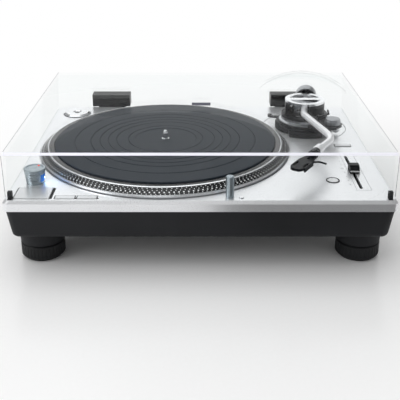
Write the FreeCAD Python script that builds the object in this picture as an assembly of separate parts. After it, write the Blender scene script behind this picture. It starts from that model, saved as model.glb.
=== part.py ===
import FreeCAD, Part
import math
import os

from FreeCAD import Vector

# A record turntable with a hinged clear cover, in millimetres.
# The origin is under the middle of the whole object, on the surface it stands on.
# +X is to the right, +Y to the back and +Z up.

# Overall sizes
plinth_width = 453.0
overall_depth = 372.0
overall_height = 173.0

# Heights, from the ground up
foot_height = 20.0
foot_gap = 1.5
boss_height = 20.0
base_height = 37.3
band_height = 12.9

# Room around the platter and for the arm
well_left_margin = 11.5
well_front_margin = 5.7
well_rear_margin = 11.3
arm_side_room = 105.5
platter_well_gap = 2.0

# Top chassis
band_chamfer = 3.4
band_corner_radius = 7.0
band_inner_corner_radius = 1.5
top_plate_thickness = 4.0
band_wall = 5.4
well_wall = 2.6
well_depth = 5.4
well_floor_thickness = 3.0
motor_well_gap = 6.0
motor_well_depth = 24.0
motor_hole_gap = 6.0
arm_groove_inner_gap = 7.6
arm_groove_width = 1.4
arm_groove_depth = 0.6

# Base shell
base_inset = 1.6
base_taper = 5.0
base_corner_radius = 9.0
base_inner_corner_radius = 2.0
base_bottom_fillet = 7.0
base_wall = 3.2
boss_flare = 1.5
stud_head_radius = 9.0
stud_post_wall = 5.0
stud_post_height = 20.0

# Feet
foot_side_inset = 6.5
foot_front_inset = 22.0
foot_rear_inset = 22.5
foot_radius = 26.5
foot_pad_height = 3.0
foot_pad_inset = 3.0
foot_edge_chamfer = 1.2
foot_flutes = 36
foot_flute_radius = 1.6
foot_flute_depth = 0.6
foot_socket_floor = 3.0
stud_radius = 5.0
stud_seat_gap = 0.5
stud_reach = 14.0

# Screws between base and chassis
screw_radius = 2.0
screw_head_radius = 4.0
screw_head_height = 2.4
screw_post_radius = 6.0
screw_from_foot_x = 14.5
screw_from_foot_y = 34.0
rear_screw_side_inset = 38.5
rear_screw_inset = 17.0
front_screw_from_spindle = 167.0
front_screw_inset = 18.0

# Platter, mat and spindle
platter_bottom_below_top = 2.4
platter_lip_height = 6.4
dot_band_width = 9.0
dot_band_height = 6.8
mat_inset = 18.5
mat_thickness = 3.0
mat_recess = 1.1
mat_edge_gap = 0.6
mat_hole_gap = 0.2
platter_web = 5.0
platter_rim_wall = 7.0
platter_rim_draft = 2.0
platter_edge_chamfer = 0.8
platter_rib_count = 12
platter_rib_width = 3.0
platter_rib_depth = 4.0
hub_radius = 21.0
hub_depth = 11.0
spindle_radius = 3.6
spindle_shaft_radius = 5.0
spindle_shoulder_above_mat = 0.1
spindle_height_above_mat = 11.5
spindle_end_chamfer = 1.0
label_radius = 50.0
label_recess_width = 9.0
mat_groove_radii = [66.0, 77.0, 88.0, 100.0, 121.0]
mat_groove_depth = 0.8
mat_groove_width = 1.4

# Motor
stator_radius = 52.0
stator_height = 12.0
stator_teeth = 9
stator_core_width = 12.0
stator_rim_width = 5.0
stator_slot_width = 10.0
stator_mouth_width = 3.2
stator_slot_floor = 1.0
magnet_air_gap = 4.0
magnet_wall = 6.0
magnet_above_plate = 4.0
bearing_radius = 14.0
bearing_end = 3.0
bearing_floor_gap = 3.0
motor_plate_overlap = 8.0
motor_plate_thickness = 3.0

# Dust cover
cover_wall = 3.4
cover_height = 57.0
cover_gap = 1.0
cover_side_inset = 2.5
cover_side_draft = 3.0
cover_front_inset = 2.0
cover_top_front_inset = 4.5
cover_rear_inset = 3.0
cover_top_rear_inset = 8.0
cover_corner_radius = 4.0
cover_inner_corner_radius = 0.8
dome_from_pivot_x = -4.5
dome_from_pivot_y = 1.0
dome_radius = 63.0
dome_wall = 3.0
cover_edge_radius = 1.4
bumper_size = 5.0
bumper_height = 9.0
bumper_wall_gap = 0.2

# Cover hinges
hinge_side_inset = 85.5
hinge_width = 59.0
hinge_height = 19.0
hinge_top_chamfer = 3.0
hinge_axis_inset = 9.0
hinge_drop = 46.0
hinge_pin_radius = 3.0
hinge_axis_drop = 7.7
hinge_knuckle_radius = 6.0
hinge_middle_width = 24.0
hinge_cheek_width = 9.0
hinge_bracket_width = 46.0
hinge_plate_thickness = 3.0
hinge_plate_gap = 1.0

# Rear sockets
terminal_width = 128.0
terminal_height = 22.0
terminal_above_base_bottom = 10.5
terminal_hinge_gap = 10.0
terminal_depth = 20.0
terminal_plate_thickness = 2.0
terminal_plate_gap = 0.2
socket_spacing = 20.0
first_socket_inset = 18.0
socket_radius = 4.15
socket_length = 9.0
socket_flange_radius = 6.2
socket_flange_thickness = 2.0
socket_hole_radius = 1.7
earth_from_socket = 18.0
earth_post_radius = 2.0
earth_post_length = 10.0
earth_nut_radius = 5.0
earth_nut_thickness = 4.0
earth_nut_gap = 2.5
inlet_side_inset = 28.0
inlet_width = 22.0
inlet_height = 13.0
inlet_length = 12.0
inlet_wall = 2.0
inlet_pin_radius = 1.2
inlet_pin_spacing = 8.6
inlet_pin_length = 8.0

# Units inside the base
power_unit_width = 90.0
power_unit_depth = 58.0
power_unit_height = 16.0
power_unit_bay_gap = 16.8
power_unit_rear_inset = 17.0
board_width = 130.0
board_depth = 90.0
board_thickness = 1.6
board_side_inset = 26.5
board_front_inset = 76.0
board_stand_height = 8.0
board_stand_radius = 3.0
board_stand_inset = 6.0
board_chips = [(20.0, 30.0, 28.0, 24.0, 2.8), (64.0, 18.0, 16.0, 16.0, 2.4),
               (90.0, 56.0, 24.0, 14.0, 6.4)]

# Controls
start_button_side_inset = 32.5
start_button_front_inset = 7.6
start_button_width = 40.6
start_button_length = 29.8
speed_button_gap = 6.8
speed_button_space = 2.8
speed_button_width = 22.6
speed_button_length = 8.2
button_gap = 0.5
button_proud = 0.6
button_travel = 1.2
button_depth = 3.2
button_edge = 0.5
button_corner = 1.0
button_hole_corner = 1.5
pillar_side_inset = 28.0
pillar_front_inset = 55.0
pillar_height = 19.0
pillar_top_radius = 13.0
pillar_bottom_radius = 10.6
pillar_dial_height = 5.0
pillar_post_radius = 4.0
pillar_post_height = 3.0
strobe_window_width = 8.0
strobe_window_height = 9.5
strobe_window_rise = 3.2
strobe_window_depth = 5.0
strobe_lens_inset = 0.6
adaptor_side_inset = 36.5
adaptor_rear_inset = 37.0
adaptor_radius = 19.0
adaptor_height = 9.0
adaptor_hole_gap = 0.1
adaptor_recess_depth = 6.0
adaptor_recess_radius = 21.0
adaptor_cup_wall = 2.0
light_from_spindle = 81.0
light_front_inset = 13.2
light_radius = 4.8
light_height = 26.0
light_below_top = 10.4
light_window_width = 5.2
light_window_height = 4.0
light_window_drop = 2.5
light_window_depth = 2.0
light_lens_inset = 0.3
light_button_from_light_x = 13.4
light_button_from_light_y = -2.6
light_button_radius = 2.4
light_button_depth = 3.0
light_button_proud = 1.0
reset_side_inset = 65.7
reset_front_inset = 60.0
reset_radius = 6.6
reset_depth = 3.0
reset_ring_radius = 8.4
pitch_side_inset = 36.0
pitch_front_inset = 87.5
pitch_slot_length = 104.0
pitch_slot_width = 4.0
pitch_plate_offset = 2.5
pitch_plate_width = 17.0
pitch_plate_length = 112.0
pitch_plate_thickness = 0.5
pitch_plate_corner = 1.5
pitch_plate_gap = 0.1
pitch_fader_width = 16.0
pitch_fader_height = 10.0
pitch_fader_wall = 5.0
pitch_fader_gap = 0.5
pitch_knob_width = 12.0
pitch_knob_length = 16.0
pitch_knob_height = 9.0
pitch_knob_offset = 1.0
pitch_knob_gap = 0.4
pitch_stem_length = 8.0
slim_button_side_inset = 32.2
slim_button_space = 31.1
slim_button_width = 21.0
slim_button_length = 8.4

# Tonearm
pivot_from_platter = 48.885
pivot_direction = 22.5195
arm_overhang = 15.1
arm_rest_angle = 9.8
offset_angle = 22.0
arm_tube_radius = 4.5
arm_bend_radius = 38.0
arm_first_bend_radius = 26.6
arm_first_run = 36.5
arm_outward_angle = 23.9
arm_base_radius = 42.0
arm_base_front_radius = 52.0
arm_base_front_height = 7.4
arm_base_front_left = 26.0
arm_base_front_right = 20.0
arm_base_front_start = 30.0
arm_base_height = 8.4
arm_base_edge = 1.4
lock_ring_outer_radius = 40.0
lock_ring_height = 2.2
lock_lever_angle = 158.0
lock_lever_reach = 12.0
lock_lever_width = 6.0
lock_lever_tip_height = 2.0
height_ring_radius = 36.5
height_ring_height = 6.4
height_ring_step = 3.4
column_radius = 26.5
column_foot_gap = 0.5
ring_gap = 0.3
turret_radius = 33.0
turret_height = 4.4
shelf_drop = 1.6
shelf_width = 24.0
yoke_radius = 28.5
yoke_wall = 3.6
yoke_top_thickness = 3.0
yoke_ring_width = 6.8
yoke_right_angles = (-84.0, 18.0)
yoke_left_angles = (96.0, 190.0)
yoke_bridge_width = 10.0
gimbal_ring_radius = 18.5
gimbal_ring_wall = 3.0
gimbal_ring_height = 12.0
gimbal_bar_height = 2.0
gimbal_bar_width = 7.0
gimbal_turret_gap = 1.0
gimbal_yoke_gap = 0.5
gimbal_cap_radius = 3.8
gimbal_cap_height = 2.4
gimbal_bore_end = 0.9
gimbal_passage_gap = 1.6
pivot_cover = 0.4
lower_pivot_depth = 2.6
lower_pivot_end_gap = 1.4
bearing_block_radius = 5.7
bearing_block_half_width = 8.0
bearing_screw_radius = 2.0
bearing_screw_end_gap = 1.2
counterweight_radius = 16.0
counterweight_length = 24.0
counterweight_start = 38.0
scale_ring_length = 4.0
scale_ring_gap = 0.2
rear_shaft_radius = 4.6
rear_shaft_length = 66.0
bush_radius = 8.0
headshell_width = 18.5
headshell_thickness = 3.2
headshell_below_arm = 1.0
headshell_tip = 61.0
headshell_shoulder = 30.0
headshell_corner = 7.0
headshell_slot_offset = 6.35
headshell_slot_width = 3.0
headshell_slot_length = 14.0
headshell_slot_inset = 8.0
headshell_rib_width = 1.4
headshell_rib_depth = 2.4
headshell_socket_radius = 5.2
headshell_socket_length = 14.0
finger_lift_radius = 1.1
stylus_from_collar = 55.6
collar_radius = 6.4
collar_length = 13.0
collar_grip = 10.0
lift_bar_radius = 34.0
lift_bar_width = 4.0
lift_bar_thickness = 2.0
lift_bar_gap = 0.6
lift_bar_start_angle = -150.0
lift_post_angle = -70.0
lift_post_radius = 1.8
lift_post_seat_gap = 0.4
cue_from_pivot_x = 29.5
cue_from_pivot_y = -31.0
cue_axis_below_turret = 3.6
cue_pin_radius = 1.4
cue_arm_radius = 1.6
cue_hub_radius = 2.6
cue_ear_thickness = 1.8
cue_ear_width = 6.4
cue_ear_drop = 2.8
cue_hub_length = 4.0
cue_ear_gap = 0.2
cue_knob_reach = 12.0
cue_knob_drop = 7.4
cue_knob_radius = 5.0
antiskate_from_pivot_x = 33.0
antiskate_from_pivot_y = -48.0
antiskate_radius = 10.8
antiskate_height = 8.0
antiskate_shaft_radius = 2.0
antiskate_pad_wall = 2.2
rest_distance = 34.0
rest_width = 7.0
rest_shelf_width = 8.0
rest_tube_gap = 0.5
rest_front = 12.0
rest_wall_gap = 0.7
rest_wall = 2.7
clamp_open_angle = 165.0
clamp_axis_side = 8.2
clamp_axis_above_arm = 6.6
clamp_barrel_radius = 2.0
clamp_pin_radius = 1.0
clamp_width = 3.6
clamp_hub_radius = 1.9
clamp_top = 1.6
clamp_bar_thickness = 1.8
clamp_hook_thickness = 1.4
clamp_hook_length = 6.6
clamp_hook_gap = 2.4

# Clearances
running_clearance = 0.05
fixed_fit = 0.02
piece_gap = 0.3

# Places worked out from the sizes above
plinth_depth = (overall_depth - hinge_plate_thickness - hinge_plate_gap
                - hinge_knuckle_radius - hinge_axis_inset)
plinth_half = plinth_width / 2.0
front_y = -overall_depth / 2.0
plinth_rear_y = front_y + plinth_depth
room_across = plinth_width - well_left_margin - arm_side_room
room_deep = plinth_depth - well_front_margin - well_rear_margin
well_radius = min(room_across, room_deep) / 2.0
platter_radius = well_radius - platter_well_gap
spindle_x = -plinth_half + well_left_margin + well_radius
spindle_y = front_y + well_front_margin + well_radius
dot_band_inner_radius = platter_radius - dot_band_width
mat_radius = platter_radius - mat_inset
boss_bottom_z = foot_height + foot_gap
base_bottom_z = boss_bottom_z + boss_height
base_floor_z = base_bottom_z + base_wall
base_top_z = base_bottom_z + base_height
top_z = base_top_z + band_height
plate_bottom_z = top_z - top_plate_thickness
well_floor_z = top_z - well_depth
motor_floor_z = top_z - motor_well_depth
platter_bottom_z = top_z - platter_bottom_below_top
lip_top_z = platter_bottom_z + platter_lip_height
platter_top_z = lip_top_z + dot_band_height
mat_seat_z = platter_top_z - mat_recess
mat_top_z = mat_seat_z + mat_thickness
web_bottom_z = mat_seat_z - platter_web
hub_bottom_z = web_bottom_z - hub_depth
cover_bottom_z = top_z + cover_gap
cover_top_z = cover_bottom_z + cover_height
cover_bottom_half_width = plinth_half - cover_side_inset
cover_top_half_width = cover_bottom_half_width - cover_side_draft
boss_base_radius = foot_radius
boss_top_radius = foot_radius + boss_flare

motor_plate_drop = motor_well_depth + well_floor_thickness
motor_plate_z = top_z - motor_plate_drop
motor_plate_radius = stator_radius + motor_hole_gap + motor_plate_overlap
magnet_outer_radius = stator_radius + magnet_air_gap + magnet_wall
motor_well_radius = magnet_outer_radius + motor_well_gap
bearing_bottom_z = base_floor_z + bearing_floor_gap
spindle_below_plate = motor_plate_z - bearing_bottom_z - bearing_end
spindle_bottom_z = motor_plate_z - spindle_below_plate

foot_centre_x = plinth_half - foot_side_inset - foot_radius
foot_front_y = front_y + foot_front_inset + foot_radius
foot_rear_y = plinth_rear_y - foot_rear_inset - foot_radius
foot_places = [(-foot_centre_x, foot_front_y), (foot_centre_x, foot_front_y),
               (-foot_centre_x, foot_rear_y), (foot_centre_x, foot_rear_y)]
screw_bottom_z = base_bottom_z + 1.0
screw_places = [(side * (foot_centre_x + screw_from_foot_x), y) for side in (-1.0, 1.0)
                for y in (foot_front_y + screw_from_foot_y, foot_rear_y - screw_from_foot_y)]
screw_places += [(plinth_half - rear_screw_side_inset, plinth_rear_y - rear_screw_inset),
                 (spindle_x + front_screw_from_spindle, front_y + front_screw_inset)]

hinge_centre_x = plinth_half - hinge_side_inset
hinge_axis_y = (plinth_rear_y + hinge_plate_thickness + hinge_plate_gap
                + hinge_knuckle_radius)
hinge_axis_z = top_z - hinge_axis_drop
terminal_x1 = hinge_centre_x - hinge_bracket_width / 2.0 - terminal_hinge_gap
terminal_x0 = terminal_x1 - terminal_width
terminal_z0 = base_bottom_z + terminal_above_base_bottom
terminal_z1 = terminal_z0 + terminal_height

start_button_x = -plinth_half + start_button_side_inset
start_button_front_y = front_y + start_button_front_inset
speed_button_33_x = (start_button_x + (start_button_width + speed_button_width) / 2.0
                     + speed_button_gap)
speed_button_45_x = speed_button_33_x + speed_button_width + speed_button_space
pillar_x = -plinth_half + pillar_side_inset
pillar_y = front_y + pillar_front_inset
adaptor_x = -plinth_half + adaptor_side_inset
adaptor_y = plinth_rear_y - adaptor_rear_inset
light_x = spindle_x + light_from_spindle
light_y = front_y + light_front_inset
light_bottom_z = top_z - light_below_top
light_button_x = light_x + light_button_from_light_x
light_button_y = light_y + light_button_from_light_y
reset_x = plinth_half - reset_side_inset
reset_y = front_y + reset_front_inset
pitch_x = plinth_half - pitch_side_inset
pitch_y = front_y + pitch_front_inset
pitch_plate_x = pitch_x + pitch_plate_offset
slim_button_x = plinth_half - slim_button_side_inset
slim_button_y = (pitch_y + (pitch_plate_length + slim_button_length) / 2.0
                 + slim_button_space)

pivot_distance = platter_radius + pivot_from_platter
pivot_x = spindle_x + pivot_distance * math.cos(math.radians(pivot_direction))
pivot_y = spindle_y + pivot_distance * math.sin(math.radians(pivot_direction))
effective_length = pivot_distance + arm_overhang
dome_x = pivot_x + dome_from_pivot_x
dome_y = pivot_y + dome_from_pivot_y
pivot_base_z = top_z + arm_base_height
lock_ring_z = pivot_base_z + ring_gap
height_ring_z = lock_ring_z + lock_ring_height + ring_gap
turret_z = height_ring_z + height_ring_height + ring_gap
turret_top_z = turret_z + turret_height
shelf_top_z = turret_top_z - shelf_drop
arm_height = (turret_top_z + gimbal_turret_gap + gimbal_bar_height
              + gimbal_ring_height / 2.0)
yoke_above_arm = (gimbal_ring_height / 2.0 + gimbal_bar_height + gimbal_yoke_gap
                  + yoke_top_thickness)
yoke_top_z = arm_height + yoke_above_arm
yoke_bottom_z = yoke_top_z - yoke_top_thickness
lift_bar_top_z = arm_height - arm_tube_radius - lift_bar_gap
cue_x = pivot_x + cue_from_pivot_x
cue_y = pivot_y + cue_from_pivot_y
cue_axis_z = turret_z - cue_axis_below_turret
cue_knob_x = cue_x + cue_knob_reach
cue_knob_z = cue_axis_z - cue_knob_drop
antiskate_x = pivot_x + antiskate_from_pivot_x
antiskate_y = pivot_y + antiskate_from_pivot_y
clamp_axis_z = arm_height + clamp_axis_above_arm
arm_angle = math.radians(arm_rest_angle)
shell_angle = math.radians(arm_rest_angle + offset_angle)
arm_forward = Vector(-math.sin(arm_angle), -math.cos(arm_angle), 0.0)
arm_side = Vector(math.cos(arm_angle), -math.sin(arm_angle), 0.0)
shell_forward = Vector(-math.sin(shell_angle), -math.cos(shell_angle), 0.0)
pivot = Vector(pivot_x, pivot_y, arm_height)
pivot_foot = Vector(pivot_x, pivot_y, 0.0)
up = Vector(0.0, 0.0, 1.0)
back = Vector(0.0, 1.0, 0.0)
origin = Vector(0.0, 0.0, 0.0)
stylus = pivot + arm_forward * effective_length
collar_front = stylus - shell_forward * stylus_from_collar
mid_angle = math.radians(arm_outward_angle - arm_rest_angle)
mid_forward = Vector(math.sin(mid_angle), -math.cos(mid_angle), 0.0)
mid_side = Vector(math.cos(mid_angle), math.sin(mid_angle), 0.0)
first_bend = pivot + arm_forward * arm_first_run
gap_to_collar = collar_front - first_bend
bend_turn = mid_forward.x * shell_forward.y - mid_forward.y * shell_forward.x
mid_run = (gap_to_collar.x * shell_forward.y - gap_to_collar.y * shell_forward.x) / bend_turn
main_bend = first_bend + mid_forward * mid_run
rest_point = first_bend + mid_forward * rest_distance
rest_point.z = 0.0

nodes = {}


def box(x0, x1, y0, y1, z0, z1):
    """A block between two corners."""
    return Part.makeBox(x1 - x0, y1 - y0, z1 - z0, Vector(x0, y0, z0))


def rod(radius, z0, z1, x, y):
    """An upright cylinder."""
    return Part.makeCylinder(radius, z1 - z0, Vector(x, y, z0), up)


def tube(outer, inner, z0, z1, x, y):
    """An upright ring with square edges."""
    return rod(outer, z0, z1, x, y).cut(rod(inner, z0 - 1.0, z1 + 1.0, x, y))


def cone(radius0, radius1, z0, z1, x, y):
    """An upright cone from radius0 at z0 to radius1 at z1."""
    return Part.makeCone(radius0, radius1, z1 - z0, Vector(x, y, z0), up)


def along(radius, start, direction, length):
    """A cylinder of some length from a start point along a direction."""
    return Part.makeCylinder(radius, length, start, direction)


def turned(profile, x, y):
    """A solid turned about the upright axis at x, y from (radius, z) points."""
    points = [Vector(r, 0.0, z) for r, z in profile]
    face = Part.Face(Part.makePolygon(points + [points[0]]))
    solid = face.revolve(origin, up, 360.0)
    solid.translate(Vector(x, y, 0.0))
    return solid


def turned_along(profile, start, direction):
    """A solid turned about a direction from (radius, distance) points."""
    solid = turned(profile, 0.0, 0.0)
    solid.Placement = FreeCAD.Placement(start, FreeCAD.Rotation(up, direction))
    return solid


def rounded_outline(x0, x1, y0, y1, z, radius):
    """The wire of a rectangle with round corners at height z."""
    corners = [(x1 - radius, y1 - radius, 0.0), (x0 + radius, y1 - radius, 90.0),
               (x0 + radius, y0 + radius, 180.0), (x1 - radius, y0 + radius, 270.0)]
    arcs = []
    for x, y, start in corners:
        angles = [math.radians(start + turn) for turn in (0.0, 45.0, 90.0)]
        points = [Vector(x + radius * math.cos(a), y + radius * math.sin(a), z)
                  for a in angles]
        arcs.append(Part.Arc(*points).toShape())
    edges = []
    for index, arc in enumerate(arcs):
        edges.append(arc)
        following = arcs[(index + 1) % len(arcs)]
        edges.append(Part.makeLine(arc.Vertexes[-1].Point, following.Vertexes[0].Point))
    return Part.Wire(edges)


def rounded_block(x0, x1, y0, y1, z0, z1, radius):
    """A block with round upright edges."""
    face = Part.Face(rounded_outline(x0, x1, y0, y1, z0, radius))
    return face.extrude(Vector(0.0, 0.0, z1 - z0))


def tapered_block(low, high, radius):
    """A block with round upright edges and drawn-in sides, between two (x0, x1, y0, y1, z)."""
    wires = [rounded_outline(*place, radius) for place in (low, high)]
    return Part.makeLoft(wires, True, True)


def joined(shapes):
    """Shapes fused into one solid."""
    whole = shapes[0].multiFuse(shapes[1:]) if len(shapes) > 1 else shapes[0]
    return whole.removeSplitter()


def oriented(shape, centre, forward):
    """A shape drawn with its +Y forward, turned to point forward, at a centre."""
    turn = FreeCAD.Rotation(back, forward)
    placed = shape.copy()
    placed.Placement = FreeCAD.Placement(centre, turn).multiply(placed.Placement)
    return placed


def around(shape, count):
    """Copies of a shape spaced evenly about the upright axis."""
    copies = []
    for step in range(count):
        turned_copy = shape.copy()
        turned_copy.rotate(origin, up, 360.0 * step / count)
        copies.append(turned_copy)
    return copies


def keep(name, shape):
    """Store a node's shape under its name."""
    nodes[name] = shape


def band_block(inset, z0, z1):
    """The plinth's outline, drawn in by inset, between two heights."""
    half = plinth_half - inset
    return rounded_block(-half, half, front_y + inset, plinth_rear_y - inset, z0, z1,
                         max(band_corner_radius - inset, band_inner_corner_radius))


def plate_hole(x, half_width, y0, y1, radius):
    """A rounded opening through the top plate."""
    return rounded_block(x - half_width, x + half_width, y0, y1,
                         plate_bottom_z - 1.0, top_z + 1.0, radius)


def round_hole(radius, x, y):
    """A round opening through the top plate."""
    return rod(radius, plate_bottom_z - 1.0, top_z + 1.0, x, y)


def button_hole(x, width, front, length):
    """The opening that a rectangular button moves in."""
    return plate_hole(x, width / 2.0 + button_gap, front - button_gap,
                      front + length + button_gap, button_hole_corner)


def control_holes():
    """The openings in the top plate that the controls sit in."""
    slot_end = pitch_slot_length / 2.0
    plate_end = pitch_plate_length / 2.0
    plate_half = pitch_plate_width / 2.0
    holes = [button_hole(start_button_x, start_button_width, start_button_front_y,
                         start_button_length),
             button_hole(slim_button_x, slim_button_width,
                         slim_button_y - slim_button_length / 2.0, slim_button_length),
             round_hole(light_radius + running_clearance, light_x, light_y),
             round_hole(light_button_radius + button_gap, light_button_x, light_button_y),
             round_hole(reset_radius + button_gap, reset_x, reset_y),
             rod(adaptor_recess_radius, top_z - adaptor_recess_depth, top_z + 1.0,
                 adaptor_x, adaptor_y),
             plate_hole(pitch_x, pitch_slot_width / 2.0, pitch_y - slot_end,
                        pitch_y + slot_end, pitch_slot_width / 2.0 - 0.1),
             rounded_block(pitch_plate_x - plate_half, pitch_plate_x + plate_half,
                           pitch_y - plate_end, pitch_y + plate_end,
                           top_z - pitch_plate_thickness, top_z + 1.0, pitch_plate_corner)]
    for x in (speed_button_33_x, speed_button_45_x):
        holes.append(button_hole(x, speed_button_width, start_button_front_y,
                                 speed_button_length))
    return holes


def arm_groove():
    """The fine round groove in the top plate about the tonearm's base."""
    inner = arm_base_front_radius + arm_groove_inner_gap
    ring = tube(inner + arm_groove_width, inner, top_z - arm_groove_depth, top_z + 1.0,
                pivot_x, pivot_y)
    return ring.cut(rod(well_radius + well_wall, top_z - 2.0, top_z + 2.0,
                        spindle_x, spindle_y))


def make_top_chassis():
    """The cast top: plate, edge band, platter well and all its openings."""
    half = plinth_half
    slope_z = top_z - band_chamfer
    low = (-half, half, front_y, plinth_rear_y, slope_z)
    high = (-half + band_chamfer, half - band_chamfer, front_y + band_chamfer,
            plinth_rear_y - band_chamfer, top_z)
    body = band_block(0.0, base_top_z, slope_z).fuse(tapered_block(low, high,
                                                                   band_corner_radius))
    body = body.cut(band_block(band_wall, base_top_z - 1.0, plate_bottom_z))
    pan_top = plate_bottom_z + 1.0
    pan_bottom_z = well_floor_z - well_floor_thickness
    pan = rod(well_radius + well_wall, pan_bottom_z, pan_top, spindle_x, spindle_y)
    limits = band_block(band_wall / 2.0, pan_bottom_z - 1.0, pan_top)
    motor_pan = rod(motor_well_radius + well_wall, motor_plate_z, well_floor_z,
                    spindle_x, spindle_y)
    cup = rod(adaptor_recess_radius + adaptor_cup_wall,
              top_z - adaptor_recess_depth - adaptor_cup_wall, pan_top,
              adaptor_x, adaptor_y)
    posts = [rod(screw_post_radius, base_top_z, pan_top, x, y) for x, y in screw_places]
    body = body.fuse([pan.common(limits), motor_pan, cup] + posts)
    holes = [rod(well_radius, well_floor_z, top_z + 1.0, spindle_x, spindle_y),
             rod(motor_well_radius, motor_floor_z, well_floor_z + 1.0,
                 spindle_x, spindle_y),
             rod(stator_radius + motor_hole_gap, motor_plate_z - 1.0, motor_floor_z + 1.0,
                 spindle_x, spindle_y), arm_groove()]
    holes += [rod(screw_radius, base_top_z - 1.0, plate_bottom_z, x, y)
              for x, y in screw_places]
    cutter = Part.makeCompound(holes + control_holes())
    keep("top_chassis", body.cut(cutter).removeSplitter())


def base_block(inset, z0, z1):
    """The drawn-in base form, kept inset from its outside, between two heights."""
    places = []
    for z in (z0, z1):
        share = (z - base_bottom_z) / base_height
        cut_in = base_inset + base_taper * (1.0 - share) + inset
        half = plinth_half - cut_in
        places.append((-half, half, front_y + cut_in, plinth_rear_y - cut_in, z))
    return tapered_block(places[0], places[1],
                         max(base_corner_radius - inset, base_inner_corner_radius))


def terminal_bay():
    """The recess in the rear wall that the sockets sit in."""
    return box(terminal_x0, terminal_x1, plinth_rear_y - terminal_depth,
               plinth_rear_y + 1.0, terminal_z0, terminal_z1)


def make_base_shell():
    """The black base: a shell with drawn-in sides, foot bosses and the socket bay."""
    outer = base_block(0.0, base_bottom_z, base_top_z)
    rims = [e for e in outer.Edges if e.BoundBox.ZMax < base_bottom_z + 0.01]
    outer = outer.makeFillet(base_bottom_fillet, rims)
    inner = base_block(base_wall, base_floor_z, base_top_z + 1.0)
    bay_walls = box(terminal_x0 - base_wall, terminal_x1 + base_wall,
                    plinth_rear_y - terminal_depth - base_wall,
                    plinth_rear_y - base_wall - 2.0,
                    base_bottom_z + 1.0, terminal_z1 + base_wall)
    shell = outer.cut(inner).fuse(bay_walls).cut(terminal_bay())
    bosses = []
    bores = []
    post_top = base_bottom_z + stud_post_height
    for x, y in foot_places:
        bosses.append(cone(boss_base_radius, boss_top_radius, boss_bottom_z,
                           base_bottom_z + 2.0, x, y))
        bosses.append(rod(stud_head_radius + stud_post_wall, base_bottom_z, post_top, x, y))
        bores.append(rod(stud_radius + running_clearance, boss_bottom_z - 1.0,
                         post_top + 1.0, x, y))
    for x, y in screw_places:
        bosses.append(rod(screw_post_radius, base_bottom_z + 1.0, base_top_z, x, y))
        bores.append(rod(screw_radius, base_bottom_z - 1.0, base_top_z + 1.0, x, y))
        bores.append(rod(screw_head_radius, base_bottom_z - 1.0,
                         screw_bottom_z + screw_head_height, x, y))
    shell = shell.fuse(Part.makeCompound(bosses))
    keep("base_shell", shell.cut(Part.makeCompound(bores)).removeSplitter())


def make_chassis_screws():
    """Screws that come up through posts in the base into the chassis."""
    screws = []
    for x, y in screw_places:
        head = rod(screw_head_radius, screw_bottom_z, screw_bottom_z + screw_head_height,
                   x, y)
        shank = rod(screw_radius, screw_bottom_z, plate_bottom_z, x, y)
        screws.append(head.fuse(shank))
    keep("chassis_screws", Part.makeCompound(screws))


def make_foot(x, y):
    """One fluted foot with its threaded socket and its rubber pad."""
    pad_radius = foot_radius - foot_pad_inset
    pad_top = foot_pad_height - 1.0
    body = turned([(0.0, pad_top), (pad_radius, pad_top), (foot_radius - 0.9, foot_pad_height),
                   (foot_radius, foot_pad_height + 1.5),
                   (foot_radius, foot_height - foot_edge_chamfer),
                   (foot_radius - foot_edge_chamfer, foot_height), (0.0, foot_height)],
                  0.0, 0.0)
    socket_z = foot_pad_height + foot_socket_floor
    flute = rod(foot_flute_radius, socket_z, foot_height - foot_edge_chamfer - 1.0,
                foot_radius + foot_flute_radius - foot_flute_depth, 0.0)
    socket = rod(stud_radius + running_clearance, socket_z, foot_height + 1.0, 0.0, 0.0)
    body = body.cut(Part.makeCompound(around(flute, foot_flutes) + [socket]))
    pad = turned([(0.0, 0.0), (pad_radius - 1.0, 0.0), (pad_radius - 0.4, 0.6),
                  (pad_radius - 0.4, pad_top), (0.0, pad_top)], 0.0, 0.0)
    foot = Part.makeCompound([body, pad])
    foot.translate(Vector(x, y, 0.0))
    return foot


def make_feet():
    """Four screw feet, each with its stud."""
    names = ("front_left", "front_right", "rear_left", "rear_right")
    stud_bottom = foot_pad_height + foot_socket_floor + stud_seat_gap
    for name, (x, y) in zip(names, foot_places):
        keep("foot_" + name, make_foot(x, y))
        keep("foot_stud_" + name, rod(stud_radius, stud_bottom, base_bottom_z + stud_reach,
                                      x, y))


def make_platter():
    """The die-cast platter: mat seat, bright lip, slanted dot band, hub and ribs."""
    seat_edge = mat_radius + mat_edge_gap
    rim_inside = platter_radius - platter_rim_wall
    hole = spindle_shaft_radius + fixed_fit
    edge = platter_edge_chamfer
    profile = [(hole, hub_bottom_z), (hole, mat_seat_z),
               (seat_edge, mat_seat_z), (seat_edge + 0.5, platter_top_z),
               (dot_band_inner_radius - 1.0, platter_top_z),
               (dot_band_inner_radius, platter_top_z - 0.5),
               (platter_radius - edge, lip_top_z), (platter_radius, lip_top_z - edge),
               (platter_radius, platter_bottom_z), (rim_inside, platter_bottom_z),
               (rim_inside - platter_rim_draft, web_bottom_z), (hub_radius, web_bottom_z),
               (hub_radius, hub_bottom_z)]
    half = platter_rib_width / 2.0
    rib = box(magnet_outer_radius + 2.0, rim_inside - 1.0, -half, half,
              web_bottom_z - platter_rib_depth, web_bottom_z + 1.0)
    body = turned(profile, 0.0, 0.0).fuse(around(rib, platter_rib_count)).removeSplitter()
    body.translate(Vector(spindle_x, spindle_y, 0.0))
    keep("platter", body)


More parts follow.
